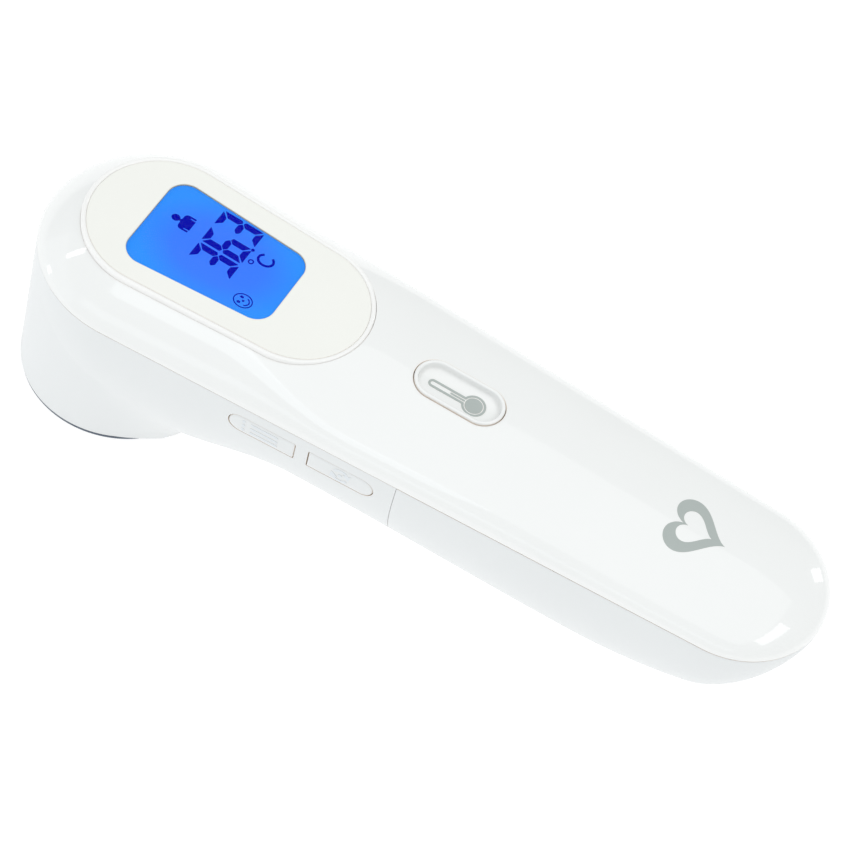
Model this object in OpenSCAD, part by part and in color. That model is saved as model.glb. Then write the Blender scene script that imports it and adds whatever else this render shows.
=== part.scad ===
// Hand-held infrared thermometer with a wide head, a tapering handle and
// a battery cover that slides off the tail.
// X runs from the nose to the tail, Z is up through the display, and the
// origin is the centre of the sensor mouth's flat face.

/* [Body] */
// Overall length of the case from nose to tail
body_len = 155; // [152:1:158]
// Radius of the round head, seen from above
head_r = 21.8; // [21.4:0.1:22.2]
// Radius of the round tail, seen from above
tail_r = 16.5; // [16.2:0.1:17]
// Wall thickness of the case
wall = 1.8; // [1.6:0.1:2]
// Height of the display plate above the joint line
plate_z = 7.7; // [7.6:0.05:7.8]
// Height of the handle's crest above the joint line
crest_z = 7.2; // [7.1:0.05:7.3]
// Height of the tail's crest above the joint line
tail_z = 5.9; // [5.7:0.1:6.2]
// Depth of the handle below the joint line, behind the neck
grip_depth = 23.4; // [23:0.1:24]
// Depth of the handle below the joint line, at the battery bay
bay_depth = 26; // [25.5:0.1:26.5]

/* [Sensor mouth] */
// Depth of the head below the joint line
mouth_z = 35.6; // [35:0.1:36.5]
// Radius of the head at the sensor mouth
mouth_r = 18.5; // [18.2:0.1:18.8]
// Distance of the mouth's centre from the nose
mouth_x = 17.9; // [17.6:0.1:18.2]
// Thickness of the rim ring that shows below the head
rim_t = 0.8; // [0.6:0.1:1]

/* [Display] */
// Distance of the window's front edge from the nose
window_x = 18.3; // [18:0.1:18.6]
// Length of the window
window_len = 28.7; // [28.3:0.1:29]
// Half width of the window at the front
window_front = 10.2; // [10:0.05:10.3]
// Half width of the window at the rear
window_rear = 8.8; // [8.6:0.05:9]
// Corner radius of the window
window_corner = 3.6; // [3:0.1:4]

/* [Buttons] */
// Distance of the measure button's centre from the nose
measure_x = 81.6; // [81.4:0.1:81.8]
// Length of the measure button
measure_len = 17.2; // [17:0.1:17.4]
// Width of the measure button
measure_w = 8.2; // [8:0.1:8.4]
// Height of each side button
side_h = 4.6; // [4.4:0.1:4.8]
// Gap around a button
button_gap = 0.25; // [0.2:0.05:0.3]

/* [Batteries] */
// Distance of the battery cover's seam from the nose
seam_x = 81; // [80.8:0.1:81.2]
// Radius of one cell
cell_r = 5.25; // [5.2:0.05:5.25]
// Length of one cell with its button
cell_len = 44.5; // [44.3:0.1:44.5]

/* [Hidden] */

// ---- outline and skins ----
span = body_len - head_r - tail_r;
lean = asin((head_r - tail_r) / span);
head_steps = 14;
neck_steps = 13;
side_steps = 23;
neck_share = 0.36;
tail_steps = 10;
skin_steps = 9;
last_angle = 86;
// exponents of the rounded sections
head_power = 1.4;
crest_power = 1.9;
grip_power = 2.6;
// crest height that the head's shoulders aim at before the plate cuts them
head_crest = 13.2;
// extra depth of the handle where it runs into the head
neck_depth = 8;
neck_start = 34;
neck_end = 61;
tail_start = 116;
tail_reach = 1;
tail_power = 2.1;

// ---- display plate ----
plate_r1 = 14.9;
plate_x1 = 21.9;
plate_r2 = 13.6;
plate_x2 = 49.1;
plate_t = 1;
plate_gap = 0.15;
pane_t = 0.7;
lcd_t = 1.8;
lcd_gap = 0.05;
pane_edge = 1.3;
plate_wall = 1.5;

// ---- boards and switches ----
board_t = 1.6;
board_end = 86;
board_wide_end = 74.5;
board_r = 17;
board_w = 15;
board_neck_w = 9;
press = 0.5;
switch_h = 1.7;
plunger_r = 1.1;
side_z = -4.7;
mode_x = [49, 61.8];
memory_x = [64.5, 77.2];
side_press = 0.4;
side_switch_y = 14.2;

// ---- battery bay ----
cell_y = 5.6;
cell_z = -9.2;
bay_x = 87.9;
bay_wall = 1.1;
contact_t = 0.4;
bump = 0.3;
spring_len = 4;
bay_len = 2 * contact_t + spring_len + cell_len + bump;
tray_w = 12;
tray_top = -1.2;
tray_bottom = -12.6;
cover_gap = 0.15;

// ---- fasteners ----
pilot_r = 0.8;
screw_r = 0.95;
screw_head_r = 1.9;
screw_head_h = 1.3;
case_spots = [[6, 6], [6, -6], [78, 13.6], [78, -13.6]];
board_spots = [[12, 0], [57.5, 8.6], [57.5, -8.6]];
tray_spots = [[84.2, 13.5], [84.2, -13.5], [142.2, 0]];
case_seat = -1.5;
tray_seat = -1.2;

// ---- helpers ----
function smooth(a, b, x) =
    let (t = min(max((x - a) / (b - a), 0), 1)) t * t * (3 - 2 * t);
function mix(a, b, t) = a + (b - a) * t;

// height of the crest and power of the section, at a place along the spine
function crest(x) = mix(mix(head_crest, crest_z, smooth(40, 70, x)), tail_z, smooth(90, 148, x));
function top_power(x) = mix(head_power, crest_power, smooth(40, 70, x));
// depth of the handle below the joint line
function depth(x) =
    let (q = max((x - tail_start) / (body_len + tail_reach - tail_start), 0))
    (mix(grip_depth, bay_depth, smooth(60, 120, x)) + neck_depth * (1 - smooth(neck_start, neck_end, x)))
    * pow(1 - pow(q, tail_power), 1 / tail_power);

// half outline from nose to tail as [place along the spine, direction]
half = concat(
    [for (i = [0:head_steps]) [0, 180 + i / head_steps * (90 + lean)]],
    [for (i = [1:neck_steps]) [neck_share * i / neck_steps, 270 + lean]],
    [for (i = [1:side_steps - neck_steps])
        [mix(neck_share, 1, i / (side_steps - neck_steps)), 270 + lean]],
    [for (i = [1:tail_steps]) [1, mix(270 + lean, 360, i / tail_steps)]]
);
half_n = len(half) - 1;
ring_n = 2 * half_n;
outline = concat(half, [for (i = [half_n - 1:-1:1]) [half[i][0], -half[i][1]]]);

function spot(st, rho, inset) =
    let (r = rho * (mix(head_r, tail_r, st[0]) - inset))
    [head_r + st[0] * span + r * cos(st[1]), r * sin(st[1])];
function side_r(x) = mix(head_r, tail_r, (x - head_r) / span);

// one ring of the upper skin, and one of the lower skin
function top_ring(angle, inset) = [
    for (st = outline)
        let (x = head_r + st[0] * span, n = top_power(x))
        let (p = spot(st, pow(cos(angle), 2 / n), inset))
        let (z = (crest(x) - inset) * pow(sin(angle), 2 / n))
        [p.x, p.y, min(z, plate_z - (inset > 0 ? plate_t + plate_wall : 0))]
];
function low_ring(angle, inset) = [
    for (st = outline)
        let (p = spot(st, pow(cos(angle), 2 / grip_power), inset))
        [p.x, p.y, -(depth(p.x) - inset) * pow(sin(angle), 2 / grip_power)]
];
function lifted(ring, dz) = [for (p = ring) [p.x, p.y, p.z + dz]];
function angles(up) = [for (i = [0:skin_steps]) last_angle * (up ? i : skin_steps - i) / skin_steps];

// closed solid through a row of rings, capped across at both ends
module loft(rings) {
    points = [for (r = rings) each r];
    last = (len(rings) - 1) * ring_n;
    sides = [
        for (j = [0:len(rings) - 2], k = [0:ring_n - 1])
            let (a = j * ring_n + k, b = j * ring_n + (k + 1) % ring_n)
            each [[a, b, b + ring_n], [a, b + ring_n, a + ring_n]]
    ];
    caps = [
        for (k = [0:half_n - 1])
            let (m = (ring_n - k) % ring_n, far = ring_n - k - 1)
            each concat(
                k < half_n - 1 ? [[far, k + 1, k], [last + k, last + k + 1, last + far]] : [],
                k > 0 ? [[m, far, k], [last + k, last + far, last + m]] : []
            )
    ];
    polyhedron(points = points, faces = concat(sides, caps), convexity = 8);
}

module upper_shell() {
    outer = [for (a = angles(false)) top_ring(a, 0)];
    inner = [for (a = angles(true)) top_ring(a, wall)];
    loft(concat(outer, inner));
}

module upper_solid(inset, drop) {
    rings = [for (a = angles(false)) top_ring(a, inset)];
    loft(concat(rings, [lifted(rings[skin_steps], -drop)]));
}

module lower_solid(inset) {
    rings = [for (a = angles(true)) low_ring(a, inset)];
    loft(inset > 0 ? concat([lifted(rings[0], 1)], rings) : rings);
}

module lower_bowl() {
    inner = [for (a = angles(false)) low_ring(a, wall)];
    outer = [for (a = angles(true)) low_ring(a, 0)];
    loft(concat(inner, outer));
}

// the body's own frame, with the nose at x = 0 and the joint line at z = 0
module in_body() {
    translate([-mouth_x, 0, mouth_z + rim_t]) children();
}

module slab(x1, x2, half_w, z1, z2) {
    translate([x1, -half_w, z1]) cube([x2 - x1, 2 * half_w, z2 - z1]);
}

// outline with two round ends of different radius on the X axis
module egg(x1, r1, x2, r2) {
    tilt = asin((r1 - r2) / (x2 - x1));
    a = [x1 + r1 * sin(tilt), r1 * cos(tilt)];
    b = [x2 + r2 * sin(tilt), r2 * cos(tilt)];
    translate([x1, 0]) circle(r1, $fn = 96);
    translate([x2, 0]) circle(r2, $fn = 96);
    polygon([[x1, 0], [a.x, -a.y], [b.x, -b.y], [x2, 0], [b.x, b.y], a]);
}

module stadium(length, width) {
    d = (length - width) / 2;
    for (s = [-1, 1]) translate([s * d, 0]) circle(width / 2, $fn = 64);
    square([2 * d, width], center = true);
}

module window_outline(grow) {
    c = window_corner;
    x1 = window_x + c;
    x2 = window_x + window_len - c;
    hull() for (s = [-1, 1]) {
        translate([x1, s * (window_front - c)]) circle(c + grow, $fn = 32);
        translate([x2, s * (window_rear - c)]) circle(c + grow, $fn = 32);
    }
}

module screw(length) {
    translate([0, 0, -screw_head_h]) difference() {
        cylinder(h = screw_head_h, r = screw_head_r, $fn = 32);
        for (turn = [0, 90]) rotate(turn) translate([-1.1, -0.2, -0.1]) cube([2.2, 0.4, 0.7]);
    }
    cylinder(h = length, r = pilot_r, $fn = 32);
}

// ---- case ----
module boss(spot, seat, r) {
    translate([spot.x, spot.y, seat]) cylinder(h = plate_z, r = r, $fn = 32);
}

module pilot(spot, seat, length) {
    translate([spot.x, spot.y, seat - 0.1]) cylinder(h = length + 0.3, r = pilot_r, $fn = 32);
}

module top_cover() {
    color([0.96, 0.97, 0.97]) in_body() difference() {
        union() {
            upper_shell();
            intersection() {
                upper_solid(wall / 2, 4);
                union() {
                    for (p = case_spots) boss(p, case_seat, 2.2);
                    for (p = board_spots) boss(p, board_t, 2.3);
                    for (p = tray_spots) boss(p, tray_seat, 2.3);
                }
            }
        }
        translate([0, 0, plate_z - plate_t]) linear_extrude(2 * plate_t)
            egg(plate_x1, plate_r1 + plate_gap, plate_x2, plate_r2 + plate_gap);
        slab(window_x - pane_edge - plate_gap, window_x + window_len + pane_edge + plate_gap,
             window_front + pane_edge + plate_gap, 3, plate_z);
        translate([measure_x, 0, 2]) linear_extrude(8)
            stadium(measure_len + 2 * button_gap, measure_w + 2 * button_gap);
        for (p = case_spots) pilot(p, case_seat, 4.6);
        for (p = board_spots) pilot(p, board_t, 3.2);
        for (p = tray_spots) pilot(p, tray_seat, 4);
    }
}

// head barrel below the joint line, leaning in towards the mouth and open-ended
module barrel(inset) {
    over = 2;
    slope = (head_r - mouth_x) / mouth_z;
    taper = (head_r - mouth_r) / mouth_z;
    multmatrix([[1, 0, slope, head_r], [0, 1, 0, 0], [0, 0, 1, 0]])
        translate([0, 0, -mouth_z - over]) cylinder(
            h = mouth_z + 2 * over,
            r1 = mouth_r - taper * over - inset,
            r2 = head_r + taper * over - inset,
            $fn = 72
        );
}

module side_button_outline(ends, grow, round_first) {
    r = side_h / 2;
    x1 = ends[0] + (round_first ? r : 0);
    x2 = ends[1] - (round_first ? 0 : r);
    translate([round_first ? x1 : x2, side_z]) circle(r + grow, $fn = 48);
    translate([x1 - (round_first ? 0 : grow), side_z - r - grow])
        square([x2 - x1 + grow, 2 * (r + grow)]);
}

// a prism along Y with its outline in the XZ plane
module side_prism(y1, y2) {
    translate([0, y2, 0]) rotate([90, 0, 0]) linear_extrude(y2 - y1) children();
}

module lower_shell() {
    joint = 26;
    shelf = 2;
    color([0.93, 0.95, 0.96]) in_body() difference() {
        union() {
            difference() {
                intersection() {
                    union() {
                        intersection() {
                            lower_solid(0);
                            slab(joint, seam_x + 5, head_r + 1, -2 * mouth_z, 1);
                        }
                        barrel(0);
                    }
                    slab(-5, seam_x, head_r + 2, -mouth_z, 0);
                }
                intersection() {
                    lower_solid(wall);
                    slab(joint + 1.5, seam_x + 1, head_r + 1, -2 * mouth_z, 2);
                }
                barrel(wall);
            }
            // shelves for the case screws
            intersection() {
                barrel(wall / 2);
                slab(0.3, 8.7, 9.2, case_seat - shelf, case_seat);
            }
            for (s = [-1, 1]) {
                translate([75.6, s * 13.2 - 1.8, case_seat - shelf]) cube([4.8, 3.6, shelf]);
                translate([78.4, s * 16 - 1.7, case_seat - shelf]) cube([2, 3.4, shelf]);
            }
        }
        for (p = case_spots) translate([p.x, p.y, case_seat - shelf - 0.1])
            cylinder(h = shelf + 0.2, r = screw_r, $fn = 32);
        side_prism(-25, -12) side_button_outline(mode_x, button_gap, true);
        side_prism(-25, -12) side_button_outline(memory_x, button_gap, false);
    }
}

module battery_cover() {
    rail = [100, 136];
    tongue = [seam_x - 3, seam_x + 3];
    tongue_z = -grip_depth + wall + 0.3;
    color([0.92, 0.94, 0.95]) in_body() {
        intersection() {
            lower_bowl();
            slab(seam_x + cover_gap, body_len + 5, head_r, -2 * mouth_z, -cover_gap);
        }
        for (s = [-1, 1]) translate([0, 0, -8]) linear_extrude(1.8) polygon([
            [rail[0], s * (tray_w + 0.3)], [rail[1], s * (tray_w + 0.3)],
            [rail[1], s * (side_r(rail[1]) - 1.1)], [rail[0], s * (side_r(rail[0]) - 1.1)]
        ]);
        difference() {
            union() {
                slab(tongue[0], tongue[1], 6, tongue_z, tongue_z + 1.3);
                slab(seam_x + 1, tongue[1], 6, tongue_z - 1.6, tongue_z + 1.3);
            }
            slab(tongue[0] - 1, tongue[0] + 1, 2.5, tongue_z - 1, tongue_z + 3);
        }
    }
}

// ---- display ----
module display_bezel() {
    color([0.97, 0.96, 0.93]) in_body() translate([0, 0, plate_z - plate_t]) linear_extrude(plate_t)
        difference() {
            egg(plate_x1, plate_r1, plate_x2, plate_r2);
            window_outline(0);
        }
}

module display_window() {
    z = plate_z - plate_t;
    color([0.7, 0.85, 0.95, 0.4]) in_body()
        slab(window_x - pane_edge, window_x + window_len + pane_edge,
             window_front + pane_edge, z - pane_t, z);
}

lcd_top = plate_z - plate_t - pane_t - lcd_gap;

module lcd_glass() {
    color([0.25, 0.5, 1]) in_body()
        slab(window_x - 1.1, window_x + window_len + 1.1, window_front + 1, lcd_top - lcd_t, lcd_top);
}

module lcd_backlight() {
    top = lcd_top - lcd_t - lcd_gap;
    color([0.6, 0.8, 1]) in_body() slab(window_x - 0.6, window_x + window_len + 0.6, 9, top - 2, top);
}

module lcd_frame() {
    color([0.95, 0.95, 0.95]) in_body() difference() {
        slab(
            window_x - 2.6, window_x + window_len + 2.6, window_front + 2.4,
            board_t + 0.05, plate_z - plate_t - plate_wall - 0.1
        );
        slab(window_x - 1.3, window_x + window_len + 1.3, window_front + 1.15, board_t - 1, plate_z);
    }
}

module contact_strips() {
    color([0.85, 0.45, 0.6]) in_body() for (s = [-1, 1])
        translate([window_x, s * 10.1 - 0.8, board_t]) cube([window_len, 1.6, lcd_top - lcd_t - board_t]);
}

// ---- electronics ----
module main_board() {
    color([0.1, 0.4, 0.25]) in_body() difference() {
        linear_extrude(board_t) {
            intersection() {
                translate([head_r, 0]) circle(board_r, $fn = 96);
                translate([8.8, -board_r]) square([20, 2 * board_r]);
            }
            translate([28, -board_w]) square([board_wide_end - 28, 2 * board_w]);
            translate([board_wide_end - 1, -board_neck_w])
                square([board_end - board_wide_end + 1, 2 * board_neck_w]);
        }
        for (p = board_spots) translate([p.x, p.y, -1]) cylinder(h = 4, r = screw_r, $fn = 32);
    }
}

module controller_chip() {
    color([0.12, 0.12, 0.13]) in_body() translate([40, -6, 0]) {
        translate([-4.5, -4.5, -1.5]) cube([9, 9, 1.3]);
        for (side = [0:3], i = [-4:4]) rotate(90 * side)
            translate([4.5, i * 0.9 - 0.15, -1]) cube([1.1, 0.3, 1]);
    }
}

module board_parts() {
    spots = [[22, -4], [25, -4], [28, -4], [50, -8], [52, -4], [52, 0], [30, 10], [34, 12], [66, 0], [69, 0]];
    color([0.7, 0.6, 0.45]) in_body() {
        for (p = spots) translate([p.x, p.y, -0.9]) cube([1.2, 2, 0.9]);
        translate([62, 5, -3]) cube([4, 3, 3]);
        translate([70, 6, -5]) cylinder(h = 5, r = 2.5, $fn = 32);
    }
}

module buzzer() {
    color([0.15, 0.15, 0.16]) in_body() translate([38, 7, -3.4]) difference() {
        cylinder(h = 3.4, r = 5.5, $fn = 48);
        translate([0, 0, -1]) cylinder(h = 2, r = 0.9, $fn = 24);
    }
}

// ---- measure button ----
button_top = crest_z + 0.2;
flange_top = 4.75;
flange_bottom = 4;

module measure_button() {
    dish = 1.3;
    color([0.95, 0.96, 0.96]) in_body() translate([measure_x, 0, 0]) {
        difference() {
            union() {
                translate([0, 0, flange_bottom]) linear_extrude(button_top - 0.4 - flange_bottom)
                    stadium(measure_len, measure_w);
                translate([0, 0, button_top - 0.4]) linear_extrude(0.4)
                    stadium(measure_len - 0.5, measure_w - 0.5);
            }
            translate([0, 0, button_top - dish]) linear_extrude(1) stadium(measure_len - 2, measure_w - 2);
        }
        translate([0, 0, flange_bottom]) linear_extrude(flange_top - flange_bottom)
            stadium(measure_len + 1.8, measure_w + 1.8);
    }
}

module measure_plunger() {
    color([0.3, 0.3, 0.32]) in_body() translate([measure_x, 0, board_t + switch_h - 0.6])
        cylinder(h = flange_bottom - board_t - switch_h + 0.6, r = plunger_r, $fn = 32);
}

module measure_switch() {
    color([0.75, 0.76, 0.78]) in_body() translate([measure_x, 0, board_t]) difference() {
        translate([-2.6, -2.6, 0]) cube([5.2, 5.2, switch_h]);
        translate([0, 0, switch_h - 0.6 - press - 0.05]) cylinder(h = 3, r = plunger_r + 0.15, $fn = 32);
    }
}

// ---- side buttons ----
// how far out the near wall's face is, and how far out a button's flange may be
function face_out(x) = side_r(x) + 0.05;
function flange_out(x) = 0.972 * (side_r(x) - wall) - 0.1;
button_slant = atan((side_r(mode_x[0]) - side_r(memory_x[1])) / (memory_x[1] - mode_x[0]));
flange_t = 0.7;
pad = 0.8;

module side_button(ends, round_first) {
    mid = (ends[0] + ends[1]) / 2;
    long = ends[1] - ends[0] + 1.2;
    inner = flange_out(mid) - flange_t;
    color([0.93, 0.95, 0.96]) in_body() {
        intersection() {
            side_prism(-22, 0.3 - flange_out(mid)) side_button_outline(ends, 0, round_first);
            translate([mid, -face_out(mid), -20]) rotate(button_slant)
                translate([-15, 0, 0]) cube([30, 8, 30]);
        }
        translate([mid, -flange_out(mid), side_z]) rotate(button_slant)
            translate([-long / 2, 0, -side_h / 2 - 0.6]) cube([long, flange_t, side_h + 1.2]);
        translate([mid - 1.6, -inner - 0.3, side_z - 1.6]) cube([3.2, pad + 0.3, 3.2]);
    }
}

module side_plunger(ends) {
    mid = (ends[0] + ends[1]) / 2;
    from = flange_out(mid) - flange_t - pad;
    to = side_switch_y - 0.6;
    color([0.3, 0.3, 0.32]) in_body() translate([mid, -to, side_z])
        rotate([90, 0, 0]) cylinder(h = from - to, r = plunger_r, $fn = 32);
}

module mode_button() { side_button(mode_x, true); }
module memory_button() { side_button(memory_x, false); }
module mode_plunger() { side_plunger(mode_x); }
module memory_plunger() { side_plunger(memory_x); }

module side_switches() {
    color([0.75, 0.76, 0.78]) in_body() for (ends = [mode_x, memory_x])
        translate([(ends[0] + ends[1]) / 2, -side_switch_y, side_z]) difference() {
            translate([-3, 0, -1.8]) cube([6, 3, 1.8 - side_z]);
            rotate([-90, 0, 0]) translate([0, 0, -1])
                cylinder(h = 1 + 0.6 + side_press + 0.1, r = plunger_r + 0.15, $fn = 32);
        }
}

// ---- sensor in the mouth ----
// the sensor's own frame, with the mouth's flat face at z = 0
ledge = 1.8;
plate_top = ledge + 1.4;
board_z = 14;
cone_top = 10.2;
post_y = 11;

module probe_ring() {
    color([0.22, 0.28, 0.33]) rotate_extrude($fn = 128) polygon([
        [14.2, 0], [17.9, 0], [18.3, 0.4], [18.3, rim_t], [mouth_r - wall - 0.15, rim_t],
        [mouth_r - wall - 0.15, 4.5], [15.2, 4.5], [15.2, ledge], [14.2, ledge]
    ]);
}

module probe_plate() {
    color([0.3, 0.33, 0.36]) translate([0, 0, ledge]) difference() {
        cylinder(h = plate_top - ledge, r = 15.1, $fn = 96);
        translate([0, 0, -1]) cylinder(h = 4, r = 7.9, $fn = 64);
    }
}

module sensor_cone() {
    color([0.8, 0.81, 0.83]) rotate_extrude($fn = 96) polygon([
        [7, ledge], [7.8, ledge], [7.8, plate_top], [4.4, cone_top - 0.1], [3.4, cone_top - 0.1]
    ]);
}

module sensor_holder() {
    color([0.88, 0.88, 0.86]) {
        difference() {
            translate([0, 0, plate_top]) cylinder(h = board_z - plate_top, r = 9.6, $fn = 64);
            translate([0, 0, plate_top - 1]) cylinder(h = cone_top - plate_top + 1, r = 8.4, $fn = 64);
            translate([0, 0, cone_top - 1]) cylinder(h = 6, r = 4.9, $fn = 64);
        }
        for (s = [-1, 1]) translate([0, s * post_y, plate_top]) difference() {
            translate([-2, -2, 0]) cube([4, 4, board_z - plate_top]);
            translate([0, 0, board_z - plate_top - 5]) cylinder(h = 6, r = pilot_r, $fn = 24);
        }
    }
}

module thermopile_sensor() {
    color([0.78, 0.76, 0.7]) {
        difference() {
            translate([0, 0, cone_top]) cylinder(h = 3, r = 4.1, $fn = 64);
            translate([0, 0, cone_top - 1]) cylinder(h = 1.3, r = 2.4, $fn = 48);
        }
        translate([0, 0, cone_top + 3]) cylinder(h = 0.5, r = 4.6, $fn = 64);
        for (turn = [45:90:315]) rotate(turn) translate([2.5, 0, cone_top + 3.5])
            cylinder(h = 3, r = 0.25, $fn = 16);
    }
}

module sensor_filter() {
    color([0.35, 0.3, 0.4]) translate([0, 0, cone_top]) cylinder(h = 0.3, r = 2.35, $fn = 48);
}

module sensor_board() {
    color([0.1, 0.4, 0.25]) translate([0, 0, board_z]) difference() {
        cylinder(h = 1.2, r = 13.2, $fn = 96);
        for (turn = [45:90:315]) rotate(turn) translate([2.5, 0, -1]) cylinder(h = 3, r = 0.4, $fn = 16);
        for (s = [-1, 1]) translate([0, s * post_y, -1]) cylinder(h = 3, r = screw_r, $fn = 32);
    }
}

module sensor_screws() {
    color([0.7, 0.71, 0.73]) for (s = [-1, 1])
        translate([0, s * post_y, board_z + 1.2]) rotate([180, 0, 0]) screw(5);
}

module sensor_ribbon() {
    t = 0.4;
    width = 6;
    top = mouth_z + rim_t;
    low = board_z + 1.2;
    color([0.85, 0.6, 0.25]) translate([0, width / 2, 0]) rotate([90, 0, 0]) linear_extrude(width) polygon([
        [6, low], [6 + t, low], [6 + t, low + 8], [12 + t, top - 6], [12 + t, top],
        [12, top], [12, top - 6 + t], [6, low + 8 + t]
    ]);
}

// ---- battery bay ----
module battery_tray() {
    ear = 1.4;
    x1 = bay_x - bay_wall;
    x2 = bay_x + bay_len + bay_wall;
    color([0.9, 0.9, 0.9]) in_body() difference() {
        union() {
            slab(x1, x2, tray_w, tray_bottom, tray_top);
            slab(x1 - 5.5, x1 + 0.5, 16, tray_top - ear, tray_top);
            slab(x2 - 0.5, x2 + 6, 3.5, tray_top - ear, tray_top);
            // grooves that guide the cover's rails
            for (z = [-6, -9.2]) slab(98, 137, tray_w + 1.2, z, z + 0.9);
        }
        slab(bay_x, bay_x + bay_len, tray_w - bay_wall, tray_bottom - 1, tray_top - bay_wall);
        for (p = tray_spots) translate([p.x, p.y, -5]) cylinder(h = 6, r = screw_r, $fn = 32);
        // slots for the contact tabs
        for (s = [-1, 1]) translate([bay_x - 0.1, s * cell_y - 1.1, -8]) cube([contact_t + 0.2, 2.2, 10]);
    }
}

// a cell along X, with its negative end at x = 0
module cell() {
    rotate([0, 90, 0]) rotate_extrude($fn = 64) polygon([
        [0, 0], [4.6, 0], [cell_r, 0.5], [cell_r, cell_len - 1.4], [4.8, cell_len - 1],
        [1.9, cell_len - 1], [1.9, cell_len], [0, cell_len]
    ]);
}

module battery_1() {
    color([0.25, 0.55, 0.35]) in_body() translate([bay_x + contact_t + spring_len, -cell_y, cell_z]) cell();
}

module battery_2() {
    color([0.25, 0.55, 0.35]) in_body()
        translate([bay_x + bay_len - contact_t - spring_len, cell_y, cell_z]) rotate(180) cell();
}

wire_sides = 6;
// ring of a wire tube around a point of a conical coil
function coil_at(t, r1, r2, turns, length, wire) =
    let (r = mix(r1, r2, t), a = 360 * turns * t)
    [for (k = [0:wire_sides - 1]) let (b = 360 * k / wire_sides) [
        wire + (length - 2 * wire) * t + wire * sin(b),
        (r + wire * cos(b)) * cos(a),
        (r + wire * cos(b)) * sin(a)
    ]];

module coil(r1, r2, turns, length, wire) {
    steps = 14 * turns;
    n = wire_sides;
    rings = [for (i = [0:steps]) coil_at(i / steps, r1, r2, turns, length, wire)];
    sides = [
        for (j = [0:steps - 1], k = [0:n - 1])
            let (a = n * j + k, b = n * j + (k + 1) % n)
            each [[a, b, b + n], [a, b + n, a + n]]
    ];
    ends = [[for (k = [n - 1:-1:0]) k], [for (k = [0:n - 1]) n * steps + k]];
    polyhedron(points = [for (r = rings) each r], faces = concat(sides, ends), convexity = 6);
}

module battery_springs() {
    color([0.8, 0.8, 0.78]) in_body() {
        translate([bay_x + contact_t, -cell_y, cell_z]) coil(3.6, 2.2, 4, spring_len, 0.35);
        translate([bay_x + bay_len - contact_t, cell_y, cell_z]) rotate(180)
            coil(3.6, 2.2, 4, spring_len, 0.35);
    }
}

module contact(bumped) {
    translate([0, -4, -4]) cube([contact_t, 8, 8]);
    translate([0, -1, 3.5]) cube([contact_t, 2, -cell_z - 3.5 - 0.4]);
    if (bumped) translate([contact_t, 0, 0]) rotate([0, 90, 0])
        cylinder(h = bump, r1 = 2.2, r2 = 1.8, $fn = 32);
}

module front_contacts() {
    color([0.8, 0.79, 0.75]) in_body() for (s = [-1, 1])
        translate([bay_x, s * cell_y, cell_z]) contact(s > 0);
}

module link_contact() {
    x = bay_x + bay_len - contact_t;
    color([0.8, 0.79, 0.75]) in_body() {
        translate([x, -cell_y - 4, cell_z - 4]) cube([contact_t, 2 * cell_y + 8, 8]);
        translate([x, -cell_y, cell_z]) rotate([0, -90, 0])
            cylinder(h = bump, r1 = 2.2, r2 = 1.8, $fn = 32);
    }
}

module battery_leads() {
    r = 0.4;
    start = [79, 0, -0.7];
    color([0.75, 0.15, 0.12]) in_body() for (s = [-1, 1]) translate(start + [0, s * cell_y, 0]) {
        rotate([0, 90, 0]) cylinder(h = bay_x - start.x, r = r, $fn = 24);
        cylinder(h = -start.z, r = r, $fn = 24);
        sphere(r, $fn = 24);
    }
}

// ---- screws ----
module case_screws() {
    color([0.7, 0.71, 0.73]) in_body() for (p = case_spots) translate([p.x, p.y, case_seat - 2]) screw(6);
}

module board_screws() {
    color([0.7, 0.71, 0.73]) in_body() for (p = board_spots) translate([p.x, p.y, 0]) screw(4.4);
}

module tray_screws() {
    color([0.7, 0.71, 0.73]) in_body() for (p = tray_spots) translate([p.x, p.y, tray_seat - 1.4]) screw(5);
}

top_cover();
lower_shell();
battery_cover();
display_bezel();
display_window();
lcd_glass();
lcd_backlight();
lcd_frame();
contact_strips();
main_board();
controller_chip();
board_parts();
buzzer();
measure_button();
measure_plunger();
measure_switch();
mode_button();
mode_plunger();
memory_button();
memory_plunger();
side_switches();
probe_ring();
probe_plate();
sensor_cone();
sensor_holder();
thermopile_sensor();
sensor_filter();
sensor_board();
sensor_screws();
sensor_ribbon();
battery_tray();
battery_1();
battery_2();
battery_springs();
front_contacts();
link_contact();
battery_leads();
case_screws();
board_screws();
tray_screws();
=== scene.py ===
import math

import bmesh
import bpy
import numpy as np
from mathutils import Matrix, Vector


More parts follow.
